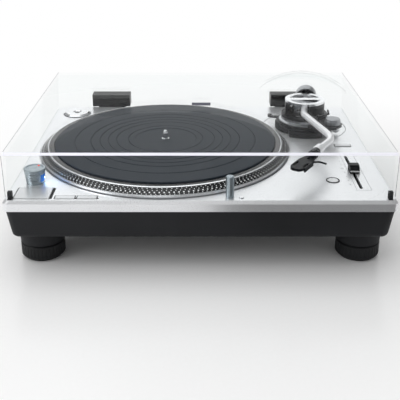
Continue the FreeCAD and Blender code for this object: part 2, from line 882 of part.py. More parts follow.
def make_mat():
    """The rubber mat with its label ring and bold grooves."""
    half = mat_groove_width / 2.0
    floor = mat_top_z - mat_groove_depth
    hole = spindle_shaft_radius + mat_hole_gap
    recess = label_radius - label_recess_width
    profile = [(hole, mat_seat_z), (hole, floor), (recess, floor),
               (recess + 1.0, mat_top_z)]
    for radius in [label_radius] + mat_groove_radii:
        profile += [(radius - half, mat_top_z), (radius - half * 0.4, floor),
                    (radius + half * 0.4, floor), (radius + half, mat_top_z)]
    profile += [(mat_radius - mat_groove_depth, mat_top_z),
                (mat_radius, mat_top_z - mat_groove_depth), (mat_radius, mat_seat_z)]
    keep("slip_mat", turned(profile, spindle_x, spindle_y))


def make_spindle():
    """The spindle: a shaft in the bearing, a shoulder and the round-ended record pin."""
    tip_z = mat_top_z + spindle_height_above_mat
    shoulder_z = mat_top_z + spindle_shoulder_above_mat
    edge = spindle_end_chamfer
    profile = [(0.0, spindle_bottom_z), (spindle_shaft_radius - edge, spindle_bottom_z),
               (spindle_shaft_radius, spindle_bottom_z + edge),
               (spindle_shaft_radius, shoulder_z), (spindle_radius, shoulder_z),
               (spindle_radius, tip_z - 4.0),
               (spindle_radius * 0.86, tip_z - 2.0), (spindle_radius * 0.5, tip_z - 0.5),
               (0.0, tip_z)]
    keep("spindle", turned(profile, spindle_x, spindle_y))


def make_motor():
    """The motor: its plate with the bearing, the toothed stator and the rotor ring."""
    bore = spindle_shaft_radius + running_clearance
    bearing_top = hub_bottom_z - 1.0
    bearing = turned([(0.0, bearing_bottom_z), (bearing_radius, bearing_bottom_z),
                      (bearing_radius, bearing_top), (bore, bearing_top),
                      (bore, spindle_bottom_z - piece_gap),
                      (0.0, spindle_bottom_z - piece_gap)], spindle_x, spindle_y)
    plate = tube(motor_plate_radius, bearing_radius - 1.0,
                 motor_plate_z - motor_plate_thickness, motor_plate_z,
                 spindle_x, spindle_y)
    keep("motor_plate", joined([bearing, plate]))
    top = motor_plate_z + stator_height
    floor = motor_plate_z + stator_slot_floor
    stator = tube(stator_radius, bearing_radius + fixed_fit, motor_plate_z, top, 0.0, 0.0)
    slot = box(bearing_radius + stator_core_width, stator_radius - stator_rim_width,
               -stator_slot_width / 2.0, stator_slot_width / 2.0, floor, top + 1.0)
    mouth = box(stator_radius - stator_rim_width - 1.0, stator_radius + 1.0,
                -stator_mouth_width / 2.0, stator_mouth_width / 2.0, floor, top + 1.0)
    stator = stator.cut(Part.makeCompound(around(slot, stator_teeth)
                                          + around(mouth, stator_teeth)))
    stator.translate(Vector(spindle_x, spindle_y, 0.0))
    keep("motor_stator", stator)
    keep("rotor_magnet", tube(magnet_outer_radius, magnet_outer_radius - magnet_wall,
                              motor_plate_z + magnet_above_plate, web_bottom_z,
                              spindle_x, spindle_y))


def make_power_unit():
    """The closed power unit on the base's floor."""
    x1 = terminal_x0 - base_wall - power_unit_bay_gap
    y1 = plinth_rear_y - power_unit_rear_inset
    keep("power_unit", rounded_block(x1 - power_unit_width, x1, y1 - power_unit_depth, y1,
                                     base_floor_z, base_floor_z + power_unit_height, 3.0))


def make_circuit_boards():
    """The main board on its stands, and the switch board under the buttons."""
    x1 = plinth_half - board_side_inset
    x0 = x1 - board_width
    y0 = front_y + board_front_inset
    y1 = y0 + board_depth
    low = base_floor_z + board_stand_height
    high = low + board_thickness
    pieces = [box(x0, x1, y0, y1, low, high)]
    for x in (x0 + board_stand_inset, x1 - board_stand_inset):
        for y in (y0 + board_stand_inset, y1 - board_stand_inset):
            pieces.append(rod(board_stand_radius, base_floor_z, low, x, y))
    for across, along_board, width, depth, height in board_chips:
        pieces.append(box(x0 + across, x0 + across + width, y0 + along_board,
                          y0 + along_board + depth, high, high + height))
    switch_top = top_z + button_proud - button_depth - button_travel - piece_gap
    front = start_button_front_y
    pads = [box(x - 3.0, x + 3.0, front + 1.5, front + 7.5, switch_top - 5.2, switch_top)
            for x in (start_button_x, speed_button_33_x, speed_button_45_x)]
    strip = box(start_button_x - 18.0, speed_button_45_x + 10.0, front - 1.0, front + 14.0,
                switch_top - 6.6, switch_top - 5.0)
    keep("circuit_boards", Part.makeCompound([joined(pieces), joined([strip] + pads)]))


def make_sockets(face, middle):
    """The two signal sockets and the earth screw, facing the back."""
    x = terminal_x0 + first_socket_inset
    sockets = []
    for step in range(2):
        seat = Vector(x + step * socket_spacing, face, middle)
        barrel = along(socket_radius, seat, back, socket_length)
        flange = along(socket_flange_radius, seat, back, socket_flange_thickness)
        hole = along(socket_hole_radius, seat + back * socket_flange_thickness, back,
                     socket_length)
        sockets.append(barrel.fuse(flange).cut(hole))
    seat = Vector(x + socket_spacing + earth_from_socket, face, middle)
    post = along(earth_post_radius, seat, back, earth_post_length)
    nut = along(earth_nut_radius, seat + back * earth_nut_gap, back, earth_nut_thickness)
    keep("signal_sockets", Part.makeCompound(sockets + [post.fuse(nut)]))


def make_terminals():
    """The socket plate in its bay, with the signal sockets and the mains inlet."""
    bay_floor = plinth_rear_y - terminal_depth
    face = bay_floor + terminal_plate_thickness
    middle = (terminal_z0 + terminal_z1) / 2.0
    gap = terminal_plate_gap
    keep("terminal_plate", box(terminal_x0 + gap, terminal_x1 - gap, bay_floor, face,
                               terminal_z0 + gap, terminal_z1 - gap))
    make_sockets(face, middle)
    half_width = inlet_width / 2.0
    half_height = inlet_height / 2.0
    block = rounded_block(-half_width, half_width, -half_height, half_height, 0.0,
                          inlet_length, half_height - 0.5)
    pocket = rounded_block(-half_width + inlet_wall, half_width - inlet_wall,
                           -half_height + inlet_wall - 0.1, half_height - inlet_wall + 0.1,
                           inlet_wall, inlet_length + 1.0, half_height - inlet_wall)
    pins = [rod(inlet_pin_radius, 1.0, 1.0 + inlet_pin_length, x, 0.0)
            for x in (-inlet_pin_spacing / 2.0, inlet_pin_spacing / 2.0)]
    inlet = block.cut(pocket).fuse(pins)
    inlet.Placement = FreeCAD.Placement(Vector(terminal_x1 - inlet_side_inset, face, middle),
                                        FreeCAD.Rotation(up, back))
    keep("mains_inlet", inlet)


def cover_rear_y(z):
    """Where the outside of the cover's rear wall stands at height z."""
    share = (z - cover_bottom_z) / cover_height
    return (plinth_rear_y - cover_rear_inset
            - share * (cover_top_rear_inset - cover_rear_inset))


def cover_form(inset, z0, z1):
    """The drafted block of the cover, kept inset from its outside."""
    places = []
    for z in (z0, z1):
        share = (z - cover_bottom_z) / cover_height
        half = cover_bottom_half_width + share * (cover_top_half_width
                                                  - cover_bottom_half_width)
        front = front_y + cover_front_inset + share * (cover_top_front_inset
                                                       - cover_front_inset)
        places.append((-half + inset, half - inset, front + inset,
                       cover_rear_y(z) - inset, z))
    return tapered_block(places[0], places[1],
                         max(cover_corner_radius - inset, cover_inner_corner_radius))


def make_dust_cover():
    """The clear cover: a drafted shell with a round dome over the tonearm."""
    rise = overall_height - cover_top_z
    ball_radius = (dome_radius ** 2 + rise ** 2) / (2.0 * rise)
    centre = Vector(dome_x, dome_y, overall_height - ball_radius)
    outer = cover_form(0.0, cover_bottom_z, cover_top_z)
    rims = [e for e in outer.Edges if e.BoundBox.ZMin > cover_top_z - 0.01]
    outer = outer.makeFillet(cover_edge_radius, rims)
    ceiling = cover_top_z - cover_wall
    inner = cover_form(cover_wall, cover_bottom_z - 1.0, ceiling)
    dome = Part.makeSphere(ball_radius, centre).common(
        rod(dome_radius + 1.0, cover_top_z - 0.5, overall_height + 1.0, dome_x, dome_y))
    hollow = Part.makeSphere(ball_radius - dome_wall, centre).common(
        rod(dome_radius + 1.0, ceiling - 0.5, overall_height + 1.0, dome_x, dome_y))
    shell = outer.fuse(dome).cut(inner.fuse(hollow))
    keep("dust_cover", shell.removeSplitter())


def make_bumpers():
    """The small blocks that the cover's front corners rest on."""
    half = bumper_size / 2.0
    height = top_z + bumper_height
    share = (height - cover_bottom_z) / cover_height
    wall_y = (front_y + cover_front_inset + cover_wall + bumper_wall_gap
              + share * (cover_top_front_inset - cover_front_inset))
    lean = share * cover_side_draft + bumper_wall_gap
    bumpers = []
    for side in (-1.0, 1.0):
        x = side * (cover_bottom_half_width - cover_wall - lean - half)
        upright = box(x - half, x + half, wall_y, wall_y + bumper_size,
                      top_z + piece_gap, height)
        foot = box(x - half, x + half, wall_y - cover_wall + 1.0, wall_y + bumper_size,
                   top_z + piece_gap, cover_bottom_z)
        bumpers.append(joined([upright, foot]))
    keep("cover_bumpers", Part.makeCompound(bumpers))


def hinge_bracket(centre, across):
    """One hinge's bracket on the plinth, with its knuckle bored for the pin."""
    half = hinge_middle_width / 2.0
    plate = box(centre - hinge_bracket_width / 2.0, centre + hinge_bracket_width / 2.0,
                plinth_rear_y, plinth_rear_y + hinge_plate_thickness, top_z - hinge_drop,
                hinge_axis_z + hinge_pin_radius)
    plate = plate.cut(base_block(-running_clearance, base_bottom_z, base_top_z))
    web = box(centre - half, centre + half, plinth_rear_y + 1.0, hinge_axis_y,
              hinge_axis_z - hinge_knuckle_radius, hinge_axis_z + 2.0)
    start = Vector(centre - half, hinge_axis_y, hinge_axis_z)
    knuckle = along(hinge_knuckle_radius, start, across, hinge_middle_width)
    bore = along(hinge_pin_radius + running_clearance, start - across, across,
                 hinge_middle_width + 2.0)
    return joined([plate, web, knuckle]).cut(bore)


def hinge_socket(centre, across):
    """One hinge's block behind the cover, with two cheeks that hold the pin."""
    half = hinge_width / 2.0
    top = cover_bottom_z + hinge_height
    rear = overall_depth / 2.0
    side = [(cover_rear_y(cover_bottom_z), cover_bottom_z), (rear, cover_bottom_z),
            (rear, top - hinge_top_chamfer), (rear - hinge_top_chamfer, top),
            (cover_rear_y(top), top)]
    face = Part.Face(Part.makePolygon([Vector(centre - half, y, z)
                                       for y, z in side + [side[0]]]))
    pieces = [face.extrude(across * hinge_width)]
    inner = hinge_middle_width / 2.0 + piece_gap
    outer = hinge_middle_width / 2.0 + hinge_cheek_width
    for low, high in ((-outer, -inner), (inner, outer)):
        start = Vector(centre + low, hinge_axis_y, hinge_axis_z)
        pieces.append(along(hinge_knuckle_radius, start, across, high - low))
        pieces.append(box(centre + low, centre + high,
                          hinge_axis_y - hinge_knuckle_radius + 1.0,
                          hinge_axis_y + hinge_knuckle_radius, hinge_axis_z,
                          cover_bottom_z + 1.0))
    seat = along(hinge_pin_radius, Vector(centre - outer - 1.0, hinge_axis_y, hinge_axis_z),
                 across, 2.0 * outer + 2.0)
    return joined(pieces).cut(seat)


def make_hinges():
    """Two cover hinges: a bracket on the plinth, a pin and a socket on the cover."""
    across = Vector(1.0, 0.0, 0.0)
    centres = (-hinge_centre_x, hinge_centre_x)
    reach = hinge_middle_width / 2.0 + hinge_cheek_width
    pins = [along(hinge_pin_radius, Vector(centre - reach, hinge_axis_y, hinge_axis_z),
                  across, 2.0 * reach) for centre in centres]
    keep("hinge_brackets", Part.makeCompound([hinge_bracket(x, across) for x in centres]))
    keep("hinge_sockets", Part.makeCompound([hinge_socket(x, across) for x in centres]))
    keep("hinge_pins", Part.makeCompound(pins))


def push_button(x, width, front, length, proud):
    """A rectangular button standing proud of the plate, with eased top edges."""
    edge = button_edge
    low = (x - width / 2.0, x + width / 2.0, front, front + length, top_z + proud - edge)
    high = (x - width / 2.0 + edge, x + width / 2.0 - edge, front + edge,
            front + length - edge, top_z + proud)
    stem = rounded_block(low[0], low[1], low[2], low[3], top_z + proud - button_depth,
                         top_z + proud - edge, button_corner)
    return joined([stem, tapered_block(low, high, button_corner)])


def make_buttons():
    """The start button, the speed buttons, the slim button and the round ones."""
    keep("start_button", push_button(start_button_x, start_button_width,
                                     start_button_front_y, start_button_length,
                                     button_proud))
    for name, x in (("speed_button_33", speed_button_33_x),
                    ("speed_button_45", speed_button_45_x)):
        keep(name, push_button(x, speed_button_width, start_button_front_y,
                               speed_button_length, button_proud))
    keep("slim_button", push_button(slim_button_x, slim_button_width,
                                    slim_button_y - slim_button_length / 2.0,
                                    slim_button_length, 2.0 * button_proud))
    low = top_z - reset_depth
    inside = reset_radius + button_gap
    keep("reset_button", turned([(0.0, low), (reset_radius, low),
                                 (reset_radius, top_z + 0.2),
                                 (reset_radius - 0.5, top_z + 0.7),
                                 (0.0, top_z + 0.4)], reset_x, reset_y))
    keep("reset_ring", turned([(inside, top_z), (reset_ring_radius, top_z),
                               (reset_ring_radius - 0.3, top_z + 0.6),
                               (inside + 0.5, top_z + 0.9), (inside, top_z + 0.6)],
                              reset_x, reset_y))
    keep("light_button", rod(light_button_radius, top_z - light_button_depth,
                             top_z + light_button_proud, light_button_x, light_button_y))


def make_stylus_light():
    """The pop-up light: a column with a cap, and a lamp window facing the record."""
    top = top_z + light_height
    column = turned([(0.0, light_bottom_z), (light_radius, light_bottom_z),
                     (light_radius, top - 0.8), (light_radius - 0.8, top), (0.0, top)],
                    light_x, light_y)
    half = light_window_width / 2.0
    high = top - light_window_drop
    window = box(light_x - half, light_x + half,
                 light_y + light_radius - light_window_depth,
                 light_y + light_radius + 1.0, high - light_window_height, high)
    lens = window.common(rod(light_radius - light_lens_inset, light_bottom_z, top,
                             light_x, light_y))
    keep("stylus_light", Part.makeCompound([column.cut(window), lens]))


def make_strobe_pillar():
    """The strobe pillar, widening upwards, with its lamp window and the power dial."""
    dial_z = top_z + pillar_height - pillar_dial_height
    post_top = dial_z + pillar_post_height
    slope = (pillar_top_radius - pillar_bottom_radius) / pillar_height
    neck = pillar_bottom_radius + slope * (dial_z - top_z)
    body = cone(pillar_bottom_radius, neck, top_z, dial_z - piece_gap, pillar_x, pillar_y)
    post = rod(pillar_post_radius, dial_z - 1.0, post_top, pillar_x, pillar_y)
    towards = Vector(spindle_x - pillar_x, spindle_y - pillar_y, 0.0)
    low = pillar_bottom_radius - strobe_window_depth
    window = Part.makeBox(strobe_window_width, pillar_top_radius - low + 1.0,
                          strobe_window_height, Vector(-strobe_window_width / 2.0, low, 0.0))
    window = oriented(window, Vector(pillar_x, pillar_y, top_z + strobe_window_rise),
                      towards)
    keep("strobe_pillar", body.fuse(post).cut(window))
    lamp_form = cone(pillar_bottom_radius - strobe_lens_inset, neck - strobe_lens_inset,
                     top_z, dial_z - piece_gap, pillar_x, pillar_y)
    keep("strobe_lamp", window.common(lamp_form))
    top = dial_z + pillar_dial_height
    bore = pillar_post_radius + running_clearance
    keep("power_dial", turned([(bore, dial_z), (neck, dial_z),
                               (pillar_top_radius, top - 0.6), (pillar_top_radius - 0.6, top),
                               (pillar_top_radius - 2.6, top),
                               (pillar_top_radius - 3.2, top - 0.6),
                               (0.0, top - 0.6), (0.0, post_top + piece_gap),
                               (bore, post_top + piece_gap)], pillar_x, pillar_y))


def make_adaptor():
    """The adaptor for large-hole records, in its recess."""
    floor = top_z - adaptor_recess_depth + piece_gap
    top = floor + adaptor_height
    hole = spindle_radius + adaptor_hole_gap
    keep("record_adaptor", turned([(hole, floor), (adaptor_radius, floor),
                                   (adaptor_radius, top - 2.0),
                                   (adaptor_radius - 2.0, top), (hole + 2.9, top),
                                   (hole + 1.9, top - 1.0), (hole, top - 1.0)],
                                  adaptor_x, adaptor_y))


def make_pitch_slide():
    """The pitch slide: inlaid plate, fader under the plate and the stepped knob."""
    half_slot = pitch_slot_width / 2.0
    slot_end = pitch_slot_length / 2.0
    gap = pitch_plate_gap
    plate_half = pitch_plate_width / 2.0 - gap
    plate_end = pitch_plate_length / 2.0 - gap
    slot = plate_hole(pitch_x, half_slot, pitch_y - slot_end, pitch_y + slot_end,
                      half_slot - 0.1)
    plate = rounded_block(pitch_plate_x - plate_half, pitch_plate_x + plate_half,
                          pitch_y - plate_end, pitch_y + plate_end,
                          top_z - pitch_plate_thickness, top_z, pitch_plate_corner - gap)
    keep("pitch_plate", plate.cut(slot))
    fader_top = plate_bottom_z - pitch_fader_gap
    fader_half = pitch_fader_width / 2.0
    fader_end = slot_end + pitch_fader_wall
    fader = box(pitch_x - fader_half, pitch_x + fader_half, pitch_y - fader_end,
                pitch_y + fader_end, fader_top - pitch_fader_height, fader_top)
    channel = box(pitch_x - half_slot - 0.5, pitch_x + half_slot + 0.5,
                  pitch_y - slot_end, pitch_y + slot_end,
                  fader_top - pitch_fader_height + 2.0, fader_top + 1.0)
    keep("pitch_fader", fader.cut(channel))
    half = pitch_knob_length / 2.0
    low = top_z + pitch_knob_gap
    high = low + pitch_knob_height
    side = [Vector(0.0, -half, low), Vector(0.0, half, low), Vector(0.0, half, high - 1.6),
            Vector(0.0, half - 1.6, high), Vector(0.0, -half + 5.6, high),
            Vector(0.0, -half + 4.2, high - 1.8), Vector(0.0, -half + 1.0, high - 4.4)]
    face = Part.Face(Part.makePolygon(side + [side[0]]))
    knob = face.extrude(Vector(pitch_knob_width, 0.0, 0.0))
    knob.translate(Vector(pitch_x + pitch_knob_offset - pitch_knob_width / 2.0, pitch_y,
                          0.0))
    stem_half = pitch_stem_length / 2.0
    stem = box(pitch_x - half_slot + piece_gap, pitch_x + half_slot - piece_gap,
               pitch_y - stem_half, pitch_y + stem_half,
               fader_top - pitch_fader_height + 3.0, low + 1.0)
    keep("pitch_knob", joined([knob, stem]))


def round_path(points, radii):
    """A wire of straight runs joined by tangent arcs, one radius per inner point."""
    edges = []
    last = points[0]
    for index in range(1, len(points) - 1):
        before = (points[index - 1] - points[index]).normalize()
        after = (points[index + 1] - points[index]).normalize()
        half_turn = (math.pi - before.getAngle(after)) / 2.0
        reach = radii[index - 1] * math.tan(half_turn)
        start = points[index] + before * reach
        end = points[index] + after * reach
        inward = (before + after).normalize()
        sagitta = radii[index - 1] * (1.0 / math.cos(half_turn) - 1.0)
        edges.append(Part.makeLine(last, start))
        edges.append(Part.Arc(start, points[index] + inward * sagitta, end).toShape())
        last = end
    edges.append(Part.makeLine(last, points[-1]))
    return Part.Wire(edges)


def swept_rod(radius, points, radii):
    """A round rod along straight runs and arcs."""
    path = round_path(points, radii)
    section = Part.Wire(Part.makeCircle(radius, points[0], points[1] - points[0]))
    return path.makePipeShell([section], True, False)


def polar(radius, angle, z):
    """A point about the arm's pivot; the angle is in degrees from +X."""
    turn = math.radians(angle)
    return Vector(pivot_x + radius * math.cos(turn), pivot_y + radius * math.sin(turn), z)


def sector(outer, inner, z0, z1, start, end):
    """A ring's piece about the arm's pivot between two angles."""
    ring = Part.makeCylinder(outer, z1 - z0, Vector(pivot_x, pivot_y, z0), up, end - start)
    ring = ring.cut(rod(inner, z0 - 1.0, z1 + 1.0, pivot_x, pivot_y))
    ring.rotate(pivot_foot, up, start)
    return ring


def arm_box(forward0, forward1, side0, side1, z0, z1, centre, forward):
    """A block in a frame with its own forward direction; side grows towards +X at rest."""
    block = Part.makeBox(side1 - side0, forward1 - forward0, z1 - z0,
                         Vector(-side1, forward0, z0))
    return oriented(block, centre, forward)


def make_arm_base():
    """The fixed base of the arm: a ring on the plate with a fuller front."""
    bore_radius = column_radius + running_clearance
    edge = arm_base_edge
    ring = turned([(bore_radius, top_z), (arm_base_radius, top_z),
                   (arm_base_radius, pivot_base_z - edge),
                   (arm_base_radius - edge, pivot_base_z),
                   (bore_radius, pivot_base_z)], pivot_x, pivot_y)
    front_top = top_z + arm_base_front_height
    front = rod(arm_base_front_radius, top_z, front_top, pivot_x, pivot_y)
    front = front.common(box(pivot_x - arm_base_front_left, pivot_x + arm_base_front_right,
                             pivot_y - arm_base_front_radius - 1.0,
                             pivot_y - arm_base_front_start, top_z, front_top))
    bore = rod(bore_radius, top_z - 1.0, pivot_base_z + 1.0, pivot_x, pivot_y)
    keep("arm_base", joined([ring, front]).cut(bore))


def make_height_parts():
    """The lock ring with its lever, and the height ring above it."""
    bore = column_radius + running_clearance
    ring = tube(lock_ring_outer_radius, bore, lock_ring_z, lock_ring_z + lock_ring_height,
                pivot_x, pivot_y)
    half = lock_lever_width / 2.0
    start = lock_ring_outer_radius - 4.0
    end = lock_ring_outer_radius + lock_lever_reach
    lever = box(start, end, -half, half, lock_ring_z, lock_ring_z + lock_ring_height)
    tip = rod(half, lock_ring_z, lock_ring_z + lock_ring_height + lock_lever_tip_height,
              end, 0.0)
    handle = lever.fuse(tip)
    handle.rotate(origin, up, lock_lever_angle)
    handle.translate(pivot_foot)
    keep("height_lock_ring", joined([ring, handle]))
    neck = height_ring_radius - height_ring_step
    top = height_ring_z + height_ring_height
    keep("height_ring", turned([(bore, height_ring_z), (height_ring_radius, height_ring_z),
                                (height_ring_radius, height_ring_z + 1.8),
                                (height_ring_radius - 1.0, height_ring_z + 2.4),
                                (neck, height_ring_z + 3.4), (neck, top), (bore, top)],
                               pivot_x, pivot_y))


def cue_ears():
    """The two ears under the turret that carry the cue lever's pin."""
    half = cue_ear_width / 2.0
    inner = cue_hub_length / 2.0 + cue_ear_gap
    low = cue_axis_z - cue_ear_drop
    return [box(cue_x - half, cue_x + half, y0, y0 + cue_ear_thickness, low, turret_z + 1.0)
            for y0 in (cue_y - inner - cue_ear_thickness, cue_y + inner)]


def make_turret():
    """The part that rises: column, turret plate and the arm out to the dial."""
    column = rod(column_radius, top_z + column_foot_gap, turret_z + 1.0, pivot_x, pivot_y)
    plate = rod(turret_radius, turret_z, turret_top_z, pivot_x, pivot_y)
    reach = Vector(antiskate_from_pivot_x, antiskate_from_pivot_y, 0.0)
    half = shelf_width / 2.0
    shelf = arm_box(0.0, reach.Length, -half, half, turret_z, shelf_top_z, pivot_foot,
                    reach)
    pad = rod(antiskate_radius + antiskate_pad_wall, turret_z, shelf_top_z,
              antiskate_x, antiskate_y)
    rest_half = rest_shelf_width / 2.0
    rest_arm = arm_box(-rest_half, rest_half, arm_tube_radius + rest_wall_gap - piece_gap,
                       turret_radius + 1.0, turret_z, shelf_top_z, rest_point, mid_forward)
    body = joined([column, plate, shelf, pad, rest_arm] + cue_ears())
    post = polar(lift_bar_radius, lift_post_angle, 0.0)
    holes = [rod(bearing_screw_radius + running_clearance, turret_top_z - lower_pivot_depth,
                 turret_top_z + 1.0, pivot_x, pivot_y),
             rod(lift_post_radius + running_clearance, turret_z - 1.0, turret_top_z + 1.0,
                 post.x, post.y),
             rod(antiskate_shaft_radius + running_clearance, turret_z + 0.8,
                 turret_top_z + 1.0, antiskate_x, antiskate_y),
             along(cue_pin_radius + running_clearance,
                   Vector(cue_x, cue_y - cue_ear_width, cue_axis_z), back,
                   2.0 * cue_ear_width)]
    keep("arm_turret", body.cut(Part.makeCompound(holes)))


def make_yoke():
    """The yoke on the turret: two curved walls, the bright top ring and its bridge."""
    inside = yoke_radius - yoke_wall
    right = sector(yoke_radius, inside, turret_top_z, yoke_bottom_z, *yoke_right_angles)
    left = sector(yoke_radius, inside, turret_top_z, yoke_bottom_z, *yoke_left_angles)
    nodes["arm_turret"] = joined([nodes["arm_turret"], right, left])
    ring = tube(yoke_radius, yoke_radius - yoke_ring_width, yoke_bottom_z, yoke_top_z,
                pivot_x, pivot_y)
    reach = inside - 2.0
    half = yoke_bridge_width / 2.0
    bridge = box(pivot_x - reach, pivot_x + reach, pivot_y - half, pivot_y + half,
                 yoke_bottom_z, yoke_top_z)
    bore = rod(bearing_screw_radius + running_clearance, yoke_bottom_z - 1.0,
               yoke_top_z - pivot_cover, pivot_x, pivot_y)
    keep("yoke_top_ring", joined([ring, bridge]).cut(bore))


def make_gimbal():
    """The gimbal ring that swings, with its upright pivots and side caps."""
    inside = gimbal_ring_radius - gimbal_ring_wall
    low = arm_height - gimbal_ring_height / 2.0
    high = arm_height + gimbal_ring_height / 2.0
    half = gimbal_bar_width / 2.0
    ring = tube(gimbal_ring_radius, inside, low, high, pivot_x, pivot_y)
    bars = []
    for z0, z1 in ((high, high + gimbal_bar_height), (low - gimbal_bar_height, low)):
        bar = arm_box(-half, half, -gimbal_ring_radius, gimbal_ring_radius, z0, z1,
                      pivot_foot, arm_forward)
        bars.append(bar.common(rod(gimbal_ring_radius, z0 - 1.0, z1 + 1.0,
                                   pivot_x, pivot_y)))
    pivots = [rod(bearing_screw_radius, high + 1.0, yoke_top_z - pivot_cover - piece_gap,
                  pivot_x, pivot_y),
              rod(bearing_screw_radius,
                  turret_top_z - lower_pivot_depth + lower_pivot_end_gap, low - 1.0,
                  pivot_x, pivot_y)]
    body = joined([ring] + bars + pivots)
    passage = along(arm_tube_radius + gimbal_passage_gap, pivot - arm_forward * yoke_radius,
                    arm_forward, 2.0 * yoke_radius)
    bore_reach = gimbal_ring_radius - gimbal_bore_end
    side_bore = along(bearing_screw_radius + running_clearance,
                      pivot - arm_side * bore_reach, arm_side, 2.0 * bore_reach)
    body = body.cut(passage).cut(side_bore)
    ring_body = rod(gimbal_ring_radius, low, high, pivot_x, pivot_y)
    caps = [along(gimbal_cap_radius, pivot + arm_side * (side * (gimbal_ring_radius - 0.4)),
                  arm_side * side, gimbal_cap_height + 0.4).cut(ring_body)
            for side in (-1.0, 1.0)]
    keep("gimbal_ring", joined([body] + caps))


def make_collar():
    """The collar that locks the headshell, threaded over the tube's end."""
    start = collar_front - shell_forward * collar_length
    collar = turned_along([(0.0, 0.0), (collar_radius - 1.2, 0.0), (collar_radius, 1.2),
                           (collar_radius, collar_length - 3.0),
                           (collar_radius - 0.8, collar_length), (0.0, collar_length)],
                          start, shell_forward)
    neck = [along(radius, start - shell_forward, shell_forward, collar_grip)
            for radius in (arm_tube_radius + running_clearance, arm_tube_radius)]
    keep("locking_collar", collar.cut(neck[0]))
    return collar.cut(neck[1])


def make_arm():
    """The balanced arm: bearing block, bent tube and rear shaft."""
    reach = gimbal_ring_radius - bearing_screw_end_gap
    half = bearing_block_half_width
    block = turned_along([(0.0, -reach), (bearing_screw_radius, -reach),
                          (bearing_screw_radius, -half - 1.0), (bearing_block_radius, -half),
                          (bearing_block_radius, half), (bearing_screw_radius, half + 1.0),
                          (bearing_screw_radius, reach), (0.0, reach)], pivot, arm_side)
    end = collar_front - shell_forward * (collar_length - 1.0)
    tube_points = [pivot + arm_forward * 4.0, first_bend, main_bend, end]
    bent = swept_rod(arm_tube_radius, tube_points, [arm_first_bend_radius, arm_bend_radius])
    keep("arm_tube", bent.cut(block).cut(make_collar()))
    shaft = along(rear_shaft_radius, pivot - arm_forward * 4.0, arm_forward * -1.0,
                  rear_shaft_length)
    keep("bearing_block", joined([block, shaft]))


def make_counterweight():
    """The counterweight on its bush, with the scale ring in front of it."""
    rearward = arm_forward * -1.0
    start = counterweight_start
    finish = start + counterweight_length
    bush_bore = rear_shaft_radius + running_clearance
    keep("counterweight_bush", turned_along(
        [(bush_bore, start + 1.0), (bush_radius, start + 1.0), (bush_radius, finish - 2.0),
         (bush_bore, finish - 2.0)], pivot, rearward))
    weight_bore = bush_radius + running_clearance
    edge = counterweight_radius
    keep("counterweight", turned_along(
        [(weight_bore, start), (edge - 0.6, start), (edge, start + 0.6),
         (edge, finish - 6.0), (edge - 1.0, finish - 5.0), (edge - 1.0, finish - 1.0),
         (edge - 2.0, finish), (weight_bore, finish)], pivot, rearward))
    ring_end = start - scale_ring_gap
    ring_start = ring_end - scale_ring_length
    keep("scale_ring", turned_along(
        [(bush_bore, ring_start), (edge - 1.4, ring_start), (edge - 0.4, ring_start + 0.8),
         (edge - 0.4, ring_end), (bush_bore, ring_end)], pivot, rearward))


def headshell_plate(top):
    """The headshell's slotted plate, drawn with its front towards +Y."""
    half = headshell_width / 2.0
    tip = headshell_tip
    shoulder = headshell_shoulder
    corner = headshell_corner
    under = top - headshell_thickness
    outline = [(-5.0, 6.0), (5.0, 6.0), (5.6, 16.0), (half, shoulder), (half, tip - corner),
               (half - 5.0, tip), (-half + 5.0, tip), (-half, tip - corner),
               (-half, shoulder), (-5.6, 16.0)]
    points = [Vector(x, y, under) for x, y in outline]
    plate = Part.Face(Part.makePolygon(points + [points[0]]))
    plate = plate.extrude(Vector(0.0, 0.0, headshell_thickness))
    slot_half = headshell_slot_width / 2.0
    slot_end = tip - headshell_slot_inset
    for side in (-1.0, 1.0):
        x = side * headshell_slot_offset
        plate = plate.cut(rounded_block(x - slot_half, x + slot_half,
                                        slot_end - headshell_slot_length, slot_end,
                                        under - 1.0, top + 1.0, slot_half - 0.05))
        low, high = sorted((side * half, side * (half - headshell_rib_width)))
        plate = plate.fuse(box(low, high, shoulder, tip - corner,
                               under - headshell_rib_depth, under))
    return plate.cut(rod(2.0, under - 1.0, top + 1.0, 0.0, shoulder - 6.0))


def make_headshell():
    """The bare headshell: socket, slotted plate with cut corners, and finger lift."""
    top = arm_height - headshell_below_arm
    half = headshell_width / 2.0
    centre = Vector(collar_front.x, collar_front.y, 0.0)
    plate = oriented(headshell_plate(top), centre, shell_forward)
    socket = along(headshell_socket_radius, collar_front, shell_forward,
                   headshell_socket_length)
    strip = [Vector(half, headshell_shoulder, top - 0.8),
             Vector(half + 6.0, headshell_shoulder - 4.0, top - 0.6),
             Vector(half + 14.0, headshell_shoulder - 6.0, top - 2.2)]
    lift = swept_rod(finger_lift_radius,
                     [oriented_point(p, centre, shell_forward) for p in strip], [6.0])
    keep("headshell", joined([joined([plate, socket]), lift]))


def oriented_point(point, centre, forward):
    """A point given by its side, forward and height, in the object's frame."""
    turn = FreeCAD.Rotation(back, forward)
    return centre + turn.multVec(Vector(-point.x, point.y, point.z))


def make_cue_lever():
    """The cue lever on its pin, with the bright round knob."""
    knob = Vector(cue_knob_x, cue_y, cue_knob_z)
    axis = Vector(cue_x, cue_y, cue_axis_z)
    hub_half = cue_hub_length / 2.0
    pin_half = hub_half + cue_ear_gap + cue_ear_thickness + 0.4
    arm = along(cue_arm_radius, axis, knob - axis, (knob - axis).Length)
    hub = along(cue_hub_radius, axis - back * hub_half, back, cue_hub_length)
    pin = along(cue_pin_radius, axis - back * pin_half, back, 2.0 * pin_half)
    ball = Part.makeSphere(cue_knob_radius, knob)
    keep("cue_lever", joined([arm, hub, pin, ball]))


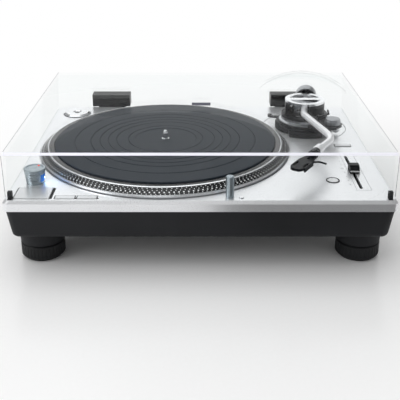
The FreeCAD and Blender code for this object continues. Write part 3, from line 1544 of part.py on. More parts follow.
def make_lift_bar():
    """The curved bar that lifts the arm, on its post."""
    half = lift_bar_width / 2.0
    bar = sector(lift_bar_radius + half, lift_bar_radius - half,
                 lift_bar_top_z - lift_bar_thickness, lift_bar_top_z,
                 lift_bar_start_angle, lift_post_angle + 4.0)
    foot = polar(lift_bar_radius, lift_post_angle, 0.0)
    post = rod(lift_post_radius, turret_z + lift_post_seat_gap, lift_bar_top_z - 0.5,
               foot.x, foot.y)
    keep("lift_bar", joined([bar, post]))


def make_antiskate():
    """The anti-skate dial on its shaft."""
    z0 = shelf_top_z + piece_gap
    z1 = z0 + antiskate_height
    edge = antiskate_radius
    dial = turned([(0.0, z0), (edge, z0), (edge, z1 - 2.8), (edge - 0.7, z1 - 2.4),
                   (edge - 0.7, z1 - 0.6), (edge - 1.3, z1), (0.0, z1)],
                  antiskate_x, antiskate_y)
    shaft = rod(antiskate_shaft_radius, turret_z + 1.2, z0 + 1.0, antiskate_x, antiskate_y)
    keep("antiskate_dial", joined([dial, shaft]))


def make_arm_rest():
    """The arm rest: a low cradle on its post, and the side wall with the clamp's barrel."""
    half = rest_width / 2.0
    cradle_top = arm_height - arm_tube_radius - rest_tube_gap
    wall_start = arm_tube_radius + rest_wall_gap
    places = ((-6.0, rest_front, cradle_top - 4.0, cradle_top),
              (wall_start, rest_front, shelf_top_z, cradle_top - 2.0),
              (wall_start, wall_start + rest_wall, cradle_top - 1.0, clamp_axis_z - 1.0))
    pieces = [arm_box(-half, half, side0, side1, z0, z1, rest_point, mid_forward)
              for side0, side1, z0, z1 in places]
    hinge = rest_point + mid_side * clamp_axis_side + up * clamp_axis_z
    pieces.append(along(clamp_barrel_radius, hinge - mid_forward * half, mid_forward,
                        rest_width))
    bore = along(clamp_pin_radius + running_clearance, hinge - mid_forward * rest_width,
                 mid_forward, 2.0 * rest_width)
    gap_half = clamp_width / 2.0 + piece_gap
    middle = along(clamp_barrel_radius + piece_gap, hinge - mid_forward * gap_half,
                   mid_forward, 2.0 * gap_half)
    keep("arm_rest", joined(pieces).cut(bore).cut(middle))
    make_arm_clamp(hinge)


def make_arm_clamp(hinge):
    """The clamp that closes over the arm, drawn shut about its pin and then opened."""
    half = clamp_width / 2.0
    reach = clamp_axis_side + arm_tube_radius + clamp_hook_gap
    low = clamp_bar_thickness - clamp_top
    bar = arm_box(-half, half, -reach, -1.0, -low, clamp_top, origin, mid_forward)
    hook = arm_box(-half, half, -reach, -reach + clamp_hook_thickness,
                   clamp_top - clamp_hook_length, clamp_top, origin, mid_forward)
    hub = along(clamp_hub_radius, mid_forward * -half, mid_forward, clamp_width)
    pin_half = rest_width / 2.0 - 0.1
    pin = along(clamp_pin_radius, mid_forward * -pin_half, mid_forward, 2.0 * pin_half)
    clamp = joined([bar, hook, hub, pin])
    clamp.rotate(origin, mid_forward, -clamp_open_angle)
    clamp.translate(hinge)
    keep("arm_clamp", clamp)


makers = [make_top_chassis, make_base_shell, make_chassis_screws, make_feet, make_platter,
          make_mat, make_spindle, make_motor, make_power_unit, make_circuit_boards,
          make_terminals, make_dust_cover, make_bumpers, make_hinges, make_buttons,
          make_stylus_light, make_strobe_pillar, make_adaptor, make_pitch_slide,
          make_arm_base, make_height_parts, make_turret, make_yoke, make_gimbal, make_arm,
          make_counterweight, make_headshell, make_cue_lever, make_lift_bar,
          make_antiskate, make_arm_rest]
for maker in makers:
    maker()

os.makedirs("parts", exist_ok=True)
for name, shape in nodes.items():
    shape.exportStep("parts/" + name + ".step")
print(len(nodes), "nodes")
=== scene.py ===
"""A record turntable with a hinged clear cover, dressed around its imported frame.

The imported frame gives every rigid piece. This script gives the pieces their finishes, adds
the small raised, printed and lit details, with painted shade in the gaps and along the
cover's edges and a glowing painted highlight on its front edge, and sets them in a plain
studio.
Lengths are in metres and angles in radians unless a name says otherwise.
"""

from __future__ import annotations

import logging
import math
from dataclasses import dataclass, field
from enum import Enum
from typing import ClassVar, Sequence

import bmesh
import bpy
from mathutils import Matrix, Vector


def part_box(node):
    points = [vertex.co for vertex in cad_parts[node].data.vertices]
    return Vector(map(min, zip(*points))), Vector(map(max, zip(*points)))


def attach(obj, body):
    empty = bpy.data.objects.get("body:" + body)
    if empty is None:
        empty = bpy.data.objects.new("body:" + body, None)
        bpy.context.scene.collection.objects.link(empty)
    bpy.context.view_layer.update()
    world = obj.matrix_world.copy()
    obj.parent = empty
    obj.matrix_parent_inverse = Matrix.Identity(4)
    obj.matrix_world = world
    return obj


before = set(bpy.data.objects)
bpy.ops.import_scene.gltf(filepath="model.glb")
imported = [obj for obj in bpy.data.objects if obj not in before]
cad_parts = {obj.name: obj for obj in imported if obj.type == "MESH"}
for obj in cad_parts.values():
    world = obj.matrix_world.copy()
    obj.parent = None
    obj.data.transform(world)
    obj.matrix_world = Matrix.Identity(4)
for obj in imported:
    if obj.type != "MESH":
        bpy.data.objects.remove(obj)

log = logging.getLogger("turntable")
Colour = tuple[float, float, float]
Shape = bmesh.types.BMesh
Socket = bpy.types.NodeSocket
Input = Socket | float | tuple | Vector
WHITE = (1.0, 1.0, 1.0)
MM = 0.001
PHOTO_PIXELS = 400
CORNERS = ("front_left", "front_right", "rear_left", "rear_right")
SHARP_ANGLE = math.radians(35.0)
UP = Vector((0.0, 0.0, 1.0))


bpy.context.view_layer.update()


def tint(red: int, green: int, blue: int) -> Colour:
    """Turn a screen colour into the linear colour that shaders use.

    Args:
        red: Red from 0 to 255.
        green: Green from 0 to 255.
        blue: Blue from 0 to 255.

    Returns:
        The same colour with linear values from 0 to 1.
    """
    shares = [value / 255.0 for value in (red, green, blue)]
    return tuple(share / 12.92 if share <= 0.04045 else ((share + 0.055) / 1.055) ** 2.4
                 for share in shares)


def vector(*values: float, unit: float = 1.0) -> Vector:
    """Give a dataclass field a vector as its default.

    Args:
        values: The vector's values.
        unit: What they are multiplied by.

    Returns:
        The field, which makes a vector of its own for each object.
    """
    return field(default_factory=lambda: Vector(values) * unit)


def node_middle(node: str) -> Vector:
    """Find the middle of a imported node's box.

    Args:
        node: The node's name.

    Returns:
        The middle, in the object's frame.
    """
    low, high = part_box(node)
    return (low + high) / 2.0


def node_radius(node: str) -> float:
    """Find the radius of a packed round node.

    Args:
        node: The node's name.

    Returns:
        Half of its box's width.
    """
    low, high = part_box(node)
    return (high.x - low.x) / 2.0


class Nodes:
    """The nodes of a material or a world, with a short way to add and link them."""

    def __init__(self, node_tree: bpy.types.NodeTree) -> None:
        """Start with an empty tree of nodes."""
        self.nodes, self.links = node_tree.nodes, node_tree.links
        self.nodes.clear()

    def fill(self, node: bpy.types.Node, inputs: dict[str | int, Input]) -> None:
        """Link or set some of a node's inputs.

        Args:
            node: The node.
            inputs: What goes into each of them.
        """
        for name, value in inputs.items():
            socket = node.inputs[name]
            if isinstance(value, Socket):
                self.links.new(value, socket)
            else:
                socket.default_value = (*value, 1.0) if socket.type == "RGBA" else value

    def add(self, kind: str, inputs: dict[str | int, Input] | None = None,
            **settings: str) -> bpy.types.Node:
        """Add a node.

        Args:
            kind: The node's type.
            inputs: What goes into its inputs.
            settings: Its other settings.

        Returns:
            The node.
        """
        node = self.nodes.new(kind)
        for name, value in settings.items():
            setattr(node, name, value)
        self.fill(node, inputs or {})
        return node


class Tree(Nodes):
    """The shader nodes of one material around its main shader."""

    def __init__(self, name: str) -> None:
        """Start a material with one main shader."""
        self.material = bpy.data.materials.new(name)
        self.material.use_nodes = True
        super().__init__(self.material.node_tree)
        self.shader = self.add("ShaderNodeBsdfPrincipled")
        self.output = self.add("ShaderNodeOutputMaterial",
                               {"Surface": self.shader.outputs["BSDF"]})

    def set(self, **values: Input) -> None:
        """Link or set the main shader's inputs, named with _ for a space."""
        self.fill(self.shader, {name.replace("_", " "): value
                                for name, value in values.items()})

    def coords(self, centre: Vector | None = None) -> Socket:
        """Read the piece's own coordinates.

        Args:
            centre: The point that the pattern is centred on, if any.

        Returns:
            The socket that carries them.
        """
        place = self.add("ShaderNodeTexCoord").outputs["Object"]
        if centre is None:
            return place
        return self.add("ShaderNodeMapping", {"Vector": place,
                                              "Location": -centre}).outputs["Vector"]

    def noise(self, place: Socket, grain: float, detail: float = 2.0,
              stretch: tuple = (1.0, 1.0, 1.0)) -> Socket:
        """Add a noise pattern.

        Args:
            place: The coordinates that it reads.
            grain: The size of its spots.
            detail: How many finer layers it has.
            stretch: How much finer it is along each axis.

        Returns:
            The socket with the noise, from 0 to 1.
        """
        scale = self.add("ShaderNodeMapping", {"Vector": place, "Scale": stretch})
        noise = self.add("ShaderNodeTexNoise", {"Vector": scale.outputs["Vector"],
                                                "Scale": 1.0 / grain, "Detail": detail})
        return noise.outputs["Fac"]

    def radius(self, place: Socket) -> Socket:
        """Measure the distance from the upright axis of some centred coordinates.

        Args:
            place: The centred coordinates.

        Returns:
            The socket with the distance.
        """
        flat = self.add("ShaderNodeVectorMath", {0: place, 1: (1.0, 1.0, 0.0)},
                        operation="MULTIPLY")
        return self.add("ShaderNodeVectorMath", {0: flat.outputs["Vector"]},
                        operation="LENGTH").outputs["Value"]

    def rings(self, radius: Socket, pitch: float) -> Socket:
        """Add the fine rings that turning leaves.

        Args:
            radius: The distance from the axis.
            pitch: How far apart the rings are.

        Returns:
            The socket with the rings, from 0 to 1.
        """
        noise = self.add("ShaderNodeTexNoise", {"W": radius, "Scale": 1.0 / pitch,
                                                "Detail": 3.0}, noise_dimensions="1D")
        return noise.outputs["Fac"]

    def spread(self, value: Socket, low: float, high: float, from_low: float = 0.3,
               from_high: float = 0.7) -> Socket:
        """Spread a value over a range.

        Args:
            value: The value.
            low: What from_low becomes.
            high: What from_high becomes.
            from_low: The value's own low end.
            from_high: The value's own high end.

        Returns:
            The socket with the value in its new range.
        """
        node = self.add("ShaderNodeMapRange", {"Value": value, "From Min": from_low,
                                               "From Max": from_high, "To Min": low,
                                               "To Max": high})
        return node.outputs["Result"]

    def maths(self, operation: str, first: Socket, second: Socket | float) -> Socket:
        """Work out one step of arithmetic.

        Args:
            operation: The step's name, such as MULTIPLY.
            first: The first value.
            second: The second value, a socket or a number.

        Returns:
            The socket with the result.
        """
        node = self.add("ShaderNodeMath", {0: first, 1: second}, operation=operation)
        return node.outputs["Value"]

    def between(self, share: Socket, first: Colour | Socket,
                second: Colour | Socket) -> Socket:
        """Blend two colours.

        Args:
            share: How much of the second colour shows.
            first: The first colour.
            second: The second colour.

        Returns:
            The socket with the blend.
        """
        node = self.add("ShaderNodeMix", {0: share, 6: first, 7: second},
                        data_type="RGBA")
        return node.outputs[2]

    def bump(self, height: Socket, distance: float) -> None:
        """Give the main shader a relief.

        Args:
            height: The relief, from 0 to 1.
            distance: How high 1 stands.
        """
        node = self.add("ShaderNodeBump", {"Height": height, "Distance": distance,
                                           "Strength": 1.0})
        self.set(Normal=node.outputs["Normal"])

    def blend(self, share: Socket, kind: str, colour: Colour) -> None:
        """Blend the main shader with a plain one where both reach the surface.

        Args:
            share: How much of the plain shader shows.
            kind: The plain shader's type.
            colour: Its colour.
        """
        plain = self.add(kind, {"Color": colour})
        mix = self.add("ShaderNodeMixShader", {0: share, 1: self.shader.outputs["BSDF"],
                                               2: plain.outputs[0]})
        self.fill(self.output, {"Surface": mix.outputs["Shader"]})


def scaled(colour: Colour, factor: float) -> Colour:
    """Make a colour lighter or darker by a factor."""
    return tuple(min(value * factor, 1.0) for value in colour)


@dataclass(frozen=True)
class Finish:
    """A finish with a fine grain and slight changes of tone.

    Attributes:
        name: The material's name.
        colour: Its mean colour.
        roughness: How matt it is.
        metallic: 1 for bare metal and 0 for the rest.
        grain: The size of its speckle.
        relief: The height of its speckle.
        tone: How far the colour strays, as a share.
        gloss: How strongly it mirrors, 0.5 for most plastics.
        sheen: How far the roughness strays, as a share.
    """

    name: str
    colour: Colour
    roughness: float
    metallic: float = 0.0
    grain: float = 0.8 * MM
    relief: float = 0.01 * MM
    tone: float = 0.05
    gloss: float = 0.5
    sheen: float = 0.12

    def build(self) -> bpy.types.Material:
        """Make the material, or find it if it is made already."""
        title = f"{self.name}_finish"
        made = bpy.data.materials.get(title)
        if made is not None:
            return made
        tree = Tree(title)
        tree.set(Metallic=self.metallic, Specular_IOR_Level=self.gloss)
        self.paint(tree)
        return tree.material

    def paint(self, tree: Tree) -> None:
        """Add the finish's colour, sheen and relief to its main shader."""
        place = tree.coords()
        speckle = tree.noise(place, self.grain)
        self.vary(tree, tree.noise(place, grain=60.0 * MM, detail=3.0), speckle)

    def vary(self, tree: Tree, cloud: Socket, speckle: Socket) -> None:
        """Let the finish follow its patterns.

        Args:
            tree: The material's nodes.
            cloud: The pattern that the colour follows, from 0 to 1.
            speckle: The pattern that the sheen and the relief follow.
        """
        low, high = (scaled(self.colour, 1.0 + side * self.tone) for side in (-1.0, 1.0))
        tree.set(Base_Color=tree.between(tree.spread(cloud, 0.0, 1.0), low, high),
                 Roughness=tree.spread(speckle, self.roughness * (1.0 - self.sheen),
                                       self.roughness * (1.0 + self.sheen)))
        tree.bump(speckle, self.relief)


@dataclass(frozen=True)
class TurnedFinish(Finish):
    """A finish with the fine rings that a lathe leaves about an upright axis.

    Attributes:
        centre: The axis, as x and y.
        pitch: How far apart the rings are.
    """

    centre: tuple[float, float] = (0.0, 0.0)
    pitch: float = 0.5 * MM
    sheen: float = 0.15

    def paint(self, tree: Tree) -> None:
        """Add the rings to the finish's colour, sheen and relief."""
        place = tree.coords(Vector((*self.centre, 0.0)))
        rings = tree.rings(tree.radius(place), self.pitch)
        self.vary(tree, rings, rings)


@dataclass(frozen=True)
class RimFinish(TurnedFinish):
    """Turned metal with black bands between pairs of radii.

    Attributes:
        bands: The bands, each as its inner and outer radius.
        band_colour: The black's own colour.
        floor: The height above which the bands show.
    """

    bands: tuple[tuple[float, float], ...] = ()
    band_colour: Colour = (0.02, 0.02, 0.02)
    floor: float = 0.0

    def paint(self, tree: Tree) -> None:
        """Add the bands over the turned metal."""
        super().paint(tree)
        place = tree.coords(Vector((*self.centre, 0.0)))
        radius = tree.radius(place)
        split = tree.add("ShaderNodeSeparateXYZ", {"Vector": place})
        mask = None
        for inner, outer in self.bands:
            band = tree.maths("MULTIPLY", tree.maths("GREATER_THAN", radius, inner),
                              tree.maths("LESS_THAN", radius, outer))
            mask = band if mask is None else tree.maths("ADD", mask, band)
        mask = tree.maths("MULTIPLY", mask,
                          tree.maths("GREATER_THAN", split.outputs["Z"], self.floor))
        metal = tree.shader.inputs["Base Color"].links[0].from_socket
        tree.set(Base_Color=tree.between(mask, metal, self.band_colour),
                 Metallic=tree.spread(mask, self.metallic, 0.0, 0.0, 1.0))


@dataclass(frozen=True)
class ClearFinish(Finish):
    """Clear moulded sheet that lets lamp light through to what it covers.

    Attributes:
        index: How strongly the sheet bends light, very little so that it stays clear.
        mirror_index: The index of refraction that sets how strongly it mirrors.
        clearness: The share of light that goes straight through the middle of a sheet.
        edge_clearness: The share that does where the sheet is seen edge on.
        edge_start: How far edge on, from 0 to 1, that share starts to change.
    """

    index: float = 1.02
    mirror_index: float = 1.49
    clearness: float = 0.94
    edge_clearness: float = 0.35
    edge_start: float = 0.82

    def paint(self, tree: Tree) -> None:
        """Add the clear shader, faint wiping marks and the way for lamp light."""
        marks = tree.noise(tree.coords(), self.grain, detail=4.0, stretch=(1.0, 3.0, 3.0))
        tree.set(Base_Color=self.colour, IOR=self.index, Transmission_Weight=1.0,
                 Coat_Weight=1.0, Coat_IOR=self.mirror_index, Coat_Roughness=0.01,
                 Roughness=tree.spread(marks, self.roughness, self.roughness * 2.0))
        path = tree.add("ShaderNodeLightPath").outputs
        lamp = tree.maths("MAXIMUM", path["Is Shadow Ray"], path["Is Diffuse Ray"])
        facing = tree.add("ShaderNodeLayerWeight").outputs["Facing"]
        share = tree.spread(facing, self.clearness, self.edge_clearness, self.edge_start,
                            1.0)
        tree.blend(tree.maths("MAXIMUM", lamp, share), "ShaderNodeBsdfTransparent",
                   self.colour)


@dataclass(frozen=True)
class LampFinish(Finish):
    """A lit window: a tinted lens that glows; also a glowing strip of painted highlight.

    Attributes:
        strength: How brightly it glows.
    """

    strength: float = 2.0

    def paint(self, tree: Tree) -> None:
        """Add the glow to the lens."""
        super().paint(tree)
        ripple = tree.spread(tree.noise(tree.coords(), grain=2.0 * MM), 0.0, 1.0)
        tree.set(Emission_Strength=self.strength,
                 Emission_Color=tree.between(ripple, scaled(self.colour, 0.8),
                                             self.colour))


SPINDLE = node_middle("spindle")
PIVOT = node_middle("height_ring")
PILLAR = node_middle("strobe_pillar")
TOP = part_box("top_chassis")[1].z
PLATTER_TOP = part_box("platter")[1].z
# The platter's rim: a black step around the mat, a bright edge, then the black slope.
STEP_RADIUS = 155.3 * MM
EDGE_RADIUS = 157.0 * MM
EDGE_WIDTH = 0.1 * MM
SLOPE_RADIUS = 165.2 * MM
SLOPE_FLOOR = 95.5 * MM


class Surface(Enum):
    """The finishes of the record player."""

    SILVER_PAINT = Finish("silver_paint", tint(236, 237, 239), 0.3, metallic=0.7,
                          grain=0.5 * MM, relief=0.004 * MM, tone=0.02)
    BLACK_MOULDED = Finish("black_moulded", tint(30, 31, 34), 0.6, grain=0.9 * MM,
                           relief=0.02 * MM, tone=0.12, gloss=0.3)
    FOOT_BLACK = Finish("foot_black", tint(28, 29, 31), 0.5, grain=0.7 * MM,
                        relief=0.02 * MM, tone=0.12, gloss=0.3)
    STEEL = Finish("zinc_steel", tint(176, 178, 180), 0.3, metallic=1.0, grain=1.5 * MM)
    INNER_GREEN = Finish("board_green", tint(42, 92, 64), 0.4, grain=3.0 * MM, tone=0.2)
    SOCKET_GOLD = Finish("socket_gold", tint(222, 190, 120), 0.22, metallic=1.0,
                         grain=1.0 * MM)
    BLACK_SATIN = Finish("black_satin", tint(18, 19, 21), 0.32, grain=0.5 * MM,
                         relief=0.008 * MM, tone=0.1, gloss=0.12)
    PILLAR_METAL = TurnedFinish("pillar_metal", tint(162, 172, 178), 0.28, metallic=0.9,
                                centre=(PILLAR.x, PILLAR.y), pitch=0.6 * MM)
    BRIGHT_METAL = Finish("bright_metal", tint(232, 233, 235), 0.16, metallic=1.0,
                          grain=1.2 * MM, relief=0.004 * MM, tone=0.03)
    ARM_BLACK = Finish("arm_black", tint(18, 20, 24), 0.34, grain=0.5 * MM,
                       tone=0.1, gloss=0.12)
    ARM_SILVER = Finish("arm_silver", tint(244, 244, 246), 0.3, metallic=0.5,
                        grain=0.6 * MM, relief=0.005 * MM, tone=0.03)
    SCALE_SILVER = TurnedFinish("scale_silver", tint(188, 190, 193), 0.3, metallic=0.85,
                                centre=(PIVOT.x, PIVOT.y))
    PLATTER_METAL = RimFinish("platter_metal", tint(232, 233, 236), 0.26, metallic=0.9,
                              centre=(SPINDLE.x, SPINDLE.y), pitch=0.8 * MM,
                              bands=((node_radius("slip_mat"), STEP_RADIUS),
                                     (EDGE_RADIUS + EDGE_WIDTH, SLOPE_RADIUS)),
                              band_colour=tint(20, 22, 25), floor=SLOPE_FLOOR, tone=0.04)
    MAT_RUBBER = TurnedFinish("mat_rubber", tint(38, 45, 53), 0.6,
                              centre=(SPINDLE.x, SPINDLE.y), pitch=1.2 * MM,
                              relief=0.05 * MM, tone=0.1, gloss=0.25)
    RUBBER = Finish("rubber", tint(38, 39, 41), 0.7, grain=1.0 * MM, relief=0.03 * MM)
    CLEAR = ClearFinish("clear_sheet", (0.985, 0.99, 0.99), 0.001, grain=40.0 * MM)
    BUTTON_SILVER = Finish("button_silver", tint(218, 219, 221), 0.3, metallic=0.6,
                           grain=0.5 * MM, relief=0.004 * MM, tone=0.02)
    WEIGHT_METAL = Finish("weight_metal", tint(150, 152, 156), 0.34, metallic=0.9,
                          grain=0.8 * MM)
    LAMP_BLUE = LampFinish("lamp_blue", tint(34, 88, 158), 0.2, strength=0.7)
    LAMP_RED = LampFinish("lamp_red", tint(225, 60, 48), 0.2, strength=0.8)
    PRINT_WHITE = Finish("print_white", tint(236, 237, 238), 0.45, grain=0.4 * MM,
                         tone=0.03)
    DOT_WHITE = Finish("dot_white", tint(244, 245, 246), 0.3, metallic=0.2, grain=0.5 * MM,
                       tone=0.03)
    # Dark for the printed marks, and for painted shade in gaps and recesses.
    PRINT_AND_SHADE_DARK = Finish("print_and_gap_shade", tint(26, 27, 29), 0.6, grain=0.6 * MM, gloss=0.2)
    PLATE_VIOLET = Finish("plate_violet", tint(88, 88, 108), 0.4, grain=0.6 * MM)
    # Grey for the pitch plate's outline and for painted shade along the cover's edges.
    LINE_GREY = Finish("line_grey", tint(150, 152, 156), 0.5, grain=0.6 * MM)
    # A glowing strip of painted highlight on the cover's polished front edge; it is no lamp.
    EDGE_PAINTED_HIGHLIGHT = LampFinish("edge_painted_highlight", tint(238, 238, 247), 0.3, grain=6.0 * MM,
                             tone=0.04, strength=0.3)

    def material(self) -> bpy.types.Material:
        """Build the finish's material."""
        return self.value.build()


def add_block(shape: Shape, size: Vector, place: Matrix, bevel: float = 0.0) -> None:
    """Add a block.

    Args:
        shape: The mesh it joins.
        size: Its length, depth and height.
        place: Where its middle goes, and how it is turned.
        bevel: The width of its eased edges, if it has any.
    """
    part = bmesh.new()
    bmesh.ops.create_cube(part, size=1.0)
    bmesh.ops.scale(part, vec=size, verts=part.verts)
    if bevel > 0.0:
        bmesh.ops.bevel(part, geom=part.edges[:], offset=bevel, segments=2,
                        affect="EDGES", profile=0.5, material=-1)
    join(shape, part, place)


def add_peg(shape: Shape, radius: float, top: float, height: float, place: Matrix,
            sides: int) -> None:
    """Add an upright peg that stands on its place.

    Args:
        shape: The mesh it joins.
        radius: Its radius at the foot.
        top: Its radius at the top.
        height: Its height.
        place: Where its foot goes, and how it is turned.
        sides: How many sides it has.
    """
    part = bmesh.new()
    bmesh.ops.create_cone(part, cap_ends=True, segments=sides, radius1=radius,
                          radius2=top, depth=height)
    bmesh.ops.translate(part, vec=UP * (height / 2.0), verts=part.verts)
    join(shape, part, place)


def join(shape: Shape, part: Shape, place: Matrix) -> None:
    """Put a part in place and add it to a shape.

    Args:
        shape: The mesh that grows.
        part: The mesh that joins it, which is used up.
        place: Where the part goes.
    """
    bmesh.ops.transform(part, matrix=place, verts=part.verts)
    holder = bpy.data.meshes.new("part_in_hand")
    part.to_mesh(holder)
    part.free()
    shape.from_mesh(holder)
    bpy.data.meshes.remove(holder)


def add_arc(shape: Shape, profile: Sequence[tuple[float, float]], place: Matrix,
            start: float, turn: float, steps: int) -> None:
    """Add a closed outline swept part of the way about an upright axis.

    Args:
        shape: The mesh it joins.
        profile: The outline, as radii and heights.
        place: Where the axis goes, and how it is turned.
        start: The angle where the sweep starts.
        turn: The angle that it covers.
        steps: How many steps it has.
    """
    part = bmesh.new()
    verts = [part.verts.new((radius * math.cos(start), radius * math.sin(start), height))
             for radius, height in profile]
    face = part.faces.new(verts)
    bmesh.ops.spin(part, geom=[face], cent=(0.0, 0.0, 0.0), axis=UP, angle=turn,
                   steps=steps)
    bmesh.ops.recalc_face_normals(part, faces=part.faces)
    join(shape, part, place)


def at(point: Vector | Sequence[float], turn: float = 0.0) -> Matrix:
    """Describe a place turned about the upright axis.

    Args:
        point: The place.
        turn: The angle, counter-clockwise from above.

    Returns:
        The place as a matrix.
    """
    return Matrix.Translation(Vector(point)) @ Matrix.Rotation(turn, 4, "Z")


def add_marks(shape: Shape, axis: Vector, radius: float, sizes: Sequence[Vector]) -> None:
    """Add a ring of raised marks whose tops are level.

    Args:
        shape: The mesh they join.
        axis: The point on the ring's axis that is level with their tops.
        radius: The ring's radius.
        sizes: Each mark's length outwards, width and height.
    """
    out = Matrix.Translation((radius, 0.0, 0.0))
    for step, size in enumerate(sizes):
        turn = 2.0 * math.pi * step / len(sizes)
        add_block(shape, size, at((axis.x, axis.y, axis.z - size.z / 2.0), turn) @ out)


def place_mesh(shape: Shape, name: str, material: bpy.types.Material) -> bpy.types.Object:
    """Turn a finished shape into an object of the scene.

    Args:
        shape: The mesh, which is used up.
        name: The object's name.
        material: Its material.

    Returns:
        The object.
    """
    mesh = bpy.data.meshes.new(name)
    shape.to_mesh(mesh)
    shape.free()
    mesh.materials.append(material)
    placed = bpy.data.objects.new(name, mesh)
    bpy.context.scene.collection.objects.link(placed)
    return placed


def publish(shape: Shape, name: str, surface: Surface, body: str) -> None:
    """Turn a finished shape into a piece of the object.

    Args:
        shape: The mesh, which is used up.
        name: The piece's name.
        surface: Its finish.
        body: The body that it rides on.
    """
    piece = place_mesh(shape, name, surface.material())
    piece.data.shade_smooth()
    piece.data.set_sharp_from_angle(angle=SHARP_ANGLE)
    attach(piece, body)
    log.info("made %s with %d faces", name, len(piece.data.polygons))


class Assembly:
    """A group of pieces that is dressed and completed together.

    Attributes:
        surfaces: The group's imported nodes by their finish.
    """

    surfaces: ClassVar[dict[Surface, tuple[str, ...]]] = {}

    def details(self) -> None:
        """Make the group's own small pieces."""

    def build(self) -> None:
        """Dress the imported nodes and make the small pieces."""
        for surface, nodes in self.surfaces.items():
            for node in nodes:
                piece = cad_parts[node]
                if not piece.material_slots:
                    piece.data.materials.append(None)
                piece.material_slots[0].material = surface.material()
            log.info("dressed %s in %s", ", ".join(nodes), surface.value.name)
        self.details()


@dataclass
class Plinth(Assembly):
    """The chassis, base, feet, sockets and hinges, with the painted shade in the recess
    around the arm's base.

    Attributes:
        ring_radius: The radius of the line of painted shade around the arm's base.
        ring_width: Its width.
        ring_height: Its height.
        ring_depth: How far its top lies below the plate.
        ring_gap: How far from the platter's well it stops, as an angle.
        well_radius: The radius of the platter's well with its wall.
    """

    surfaces = {Surface.SILVER_PAINT: ("top_chassis",),
                Surface.BLACK_MOULDED: ("base_shell",),
                Surface.STEEL: ("chassis_screws", "motor_plate", "power_unit", "hinge_pins",
                                *(f"foot_stud_{corner}" for corner in CORNERS)),
                Surface.WEIGHT_METAL: ("motor_stator", "rotor_magnet"),
                Surface.INNER_GREEN: ("circuit_boards",),
                Surface.BLACK_SATIN: ("terminal_plate", "mains_inlet", "hinge_brackets"),
                Surface.SOCKET_GOLD: ("signal_sockets",),
                Surface.FOOT_BLACK: tuple(f"foot_{corner}" for corner in CORNERS)}
    ring_radius: float = 60.3 * MM
    ring_width: float = 0.9 * MM
    ring_height: float = 0.1 * MM
    ring_depth: float = 0.45 * MM
    ring_gap: float = math.radians(1.5)
    well_radius: float = node_radius("platter") + 4.6 * MM

    def details(self) -> None:
        """Paint the dark line of painted shade in the recess that runs around the arm's base
        as far as the platter's well.
        """
        towards = SPINDLE - PIVOT
        towards.z = 0.0
        reach = towards.length
        cosine = ((reach ** 2 + self.ring_radius ** 2 - self.well_radius ** 2)
                  / (2.0 * reach * self.ring_radius))
        half = math.acos(cosine) + self.ring_gap
        start = math.atan2(towards.y, towards.x) + half
        inner, outer = self.ring_radius, self.ring_radius + self.ring_width
        high = TOP - self.ring_depth
        low = high - self.ring_height
        shape = bmesh.new()
        add_arc(shape, ((inner, low), (outer, low), (outer, high), (inner, high)),
                at((PIVOT.x, PIVOT.y, 0.0)), start, turn=2.0 * (math.pi - half), steps=96)
        publish(shape, "arm_ring_recess_shade", Surface.PRINT_AND_SHADE_DARK, "plinth")


@dataclass
class DotRow:
    """One row of strobe dots around the platter.

    Attributes:
        count: How many dots it has.
        share: Where it lies on the slope, from 0 at the top to 1 at the bottom.
        radius: The dots' radius.
    """

    count: int
    share: float
    radius: float


@dataclass
class Platter(Assembly):
    """The platter, its mat and spindle, and the strobe dots on its slanted rim.

    Attributes:
        slope_drop: How far the slope's upper edge lies below the platter's top.
        slope_foot: How far its lower edge does.
        rows: The rows of dots, from the top.
        rise: How far a dot stands proud.
        root: How far it reaches into the slope.
        taper: How much narrower it is at its top.
    """

    surfaces = {Surface.PLATTER_METAL: ("platter",), Surface.MAT_RUBBER: ("slip_mat",),
                Surface.BRIGHT_METAL: ("spindle",)}
    slope_drop: float = 0.5 * MM
    slope_foot: float = 6.8 * MM
    rows: tuple[DotRow, ...] = (DotRow(174, 0.16, 0.62 * MM), DotRow(186, 0.40, 0.62 * MM),
                                DotRow(180, 0.65, 1.05 * MM), DotRow(189, 0.88, 0.62 * MM))
    rise: float = 0.15 * MM
    root: float = 0.1 * MM
    taper: float = 0.8

    def details(self) -> None:
        """Make the four rows of dots as one piece."""
        shape = bmesh.new()
        run = SLOPE_RADIUS - EDGE_RADIUS
        fall = self.slope_foot - self.slope_drop
        lean = Matrix.Rotation(math.atan2(fall, run), 4, "Y")
        sunk = Matrix.Translation((0.0, 0.0, -self.root))
        for row in self.rows:
            out = Matrix.Translation((EDGE_RADIUS + row.share * run, 0.0, 0.0))
            height = PLATTER_TOP - self.slope_drop - row.share * fall
            for step in range(row.count):
                turn = 2.0 * math.pi * step / row.count
                place = at((SPINDLE.x, SPINDLE.y, height), turn) @ out @ lean @ sunk
                add_peg(shape, row.radius, row.radius * self.taper, self.rise + self.root,
                        place, sides=8)
        publish(shape, "strobe_dots", Surface.DOT_WHITE, "platter")


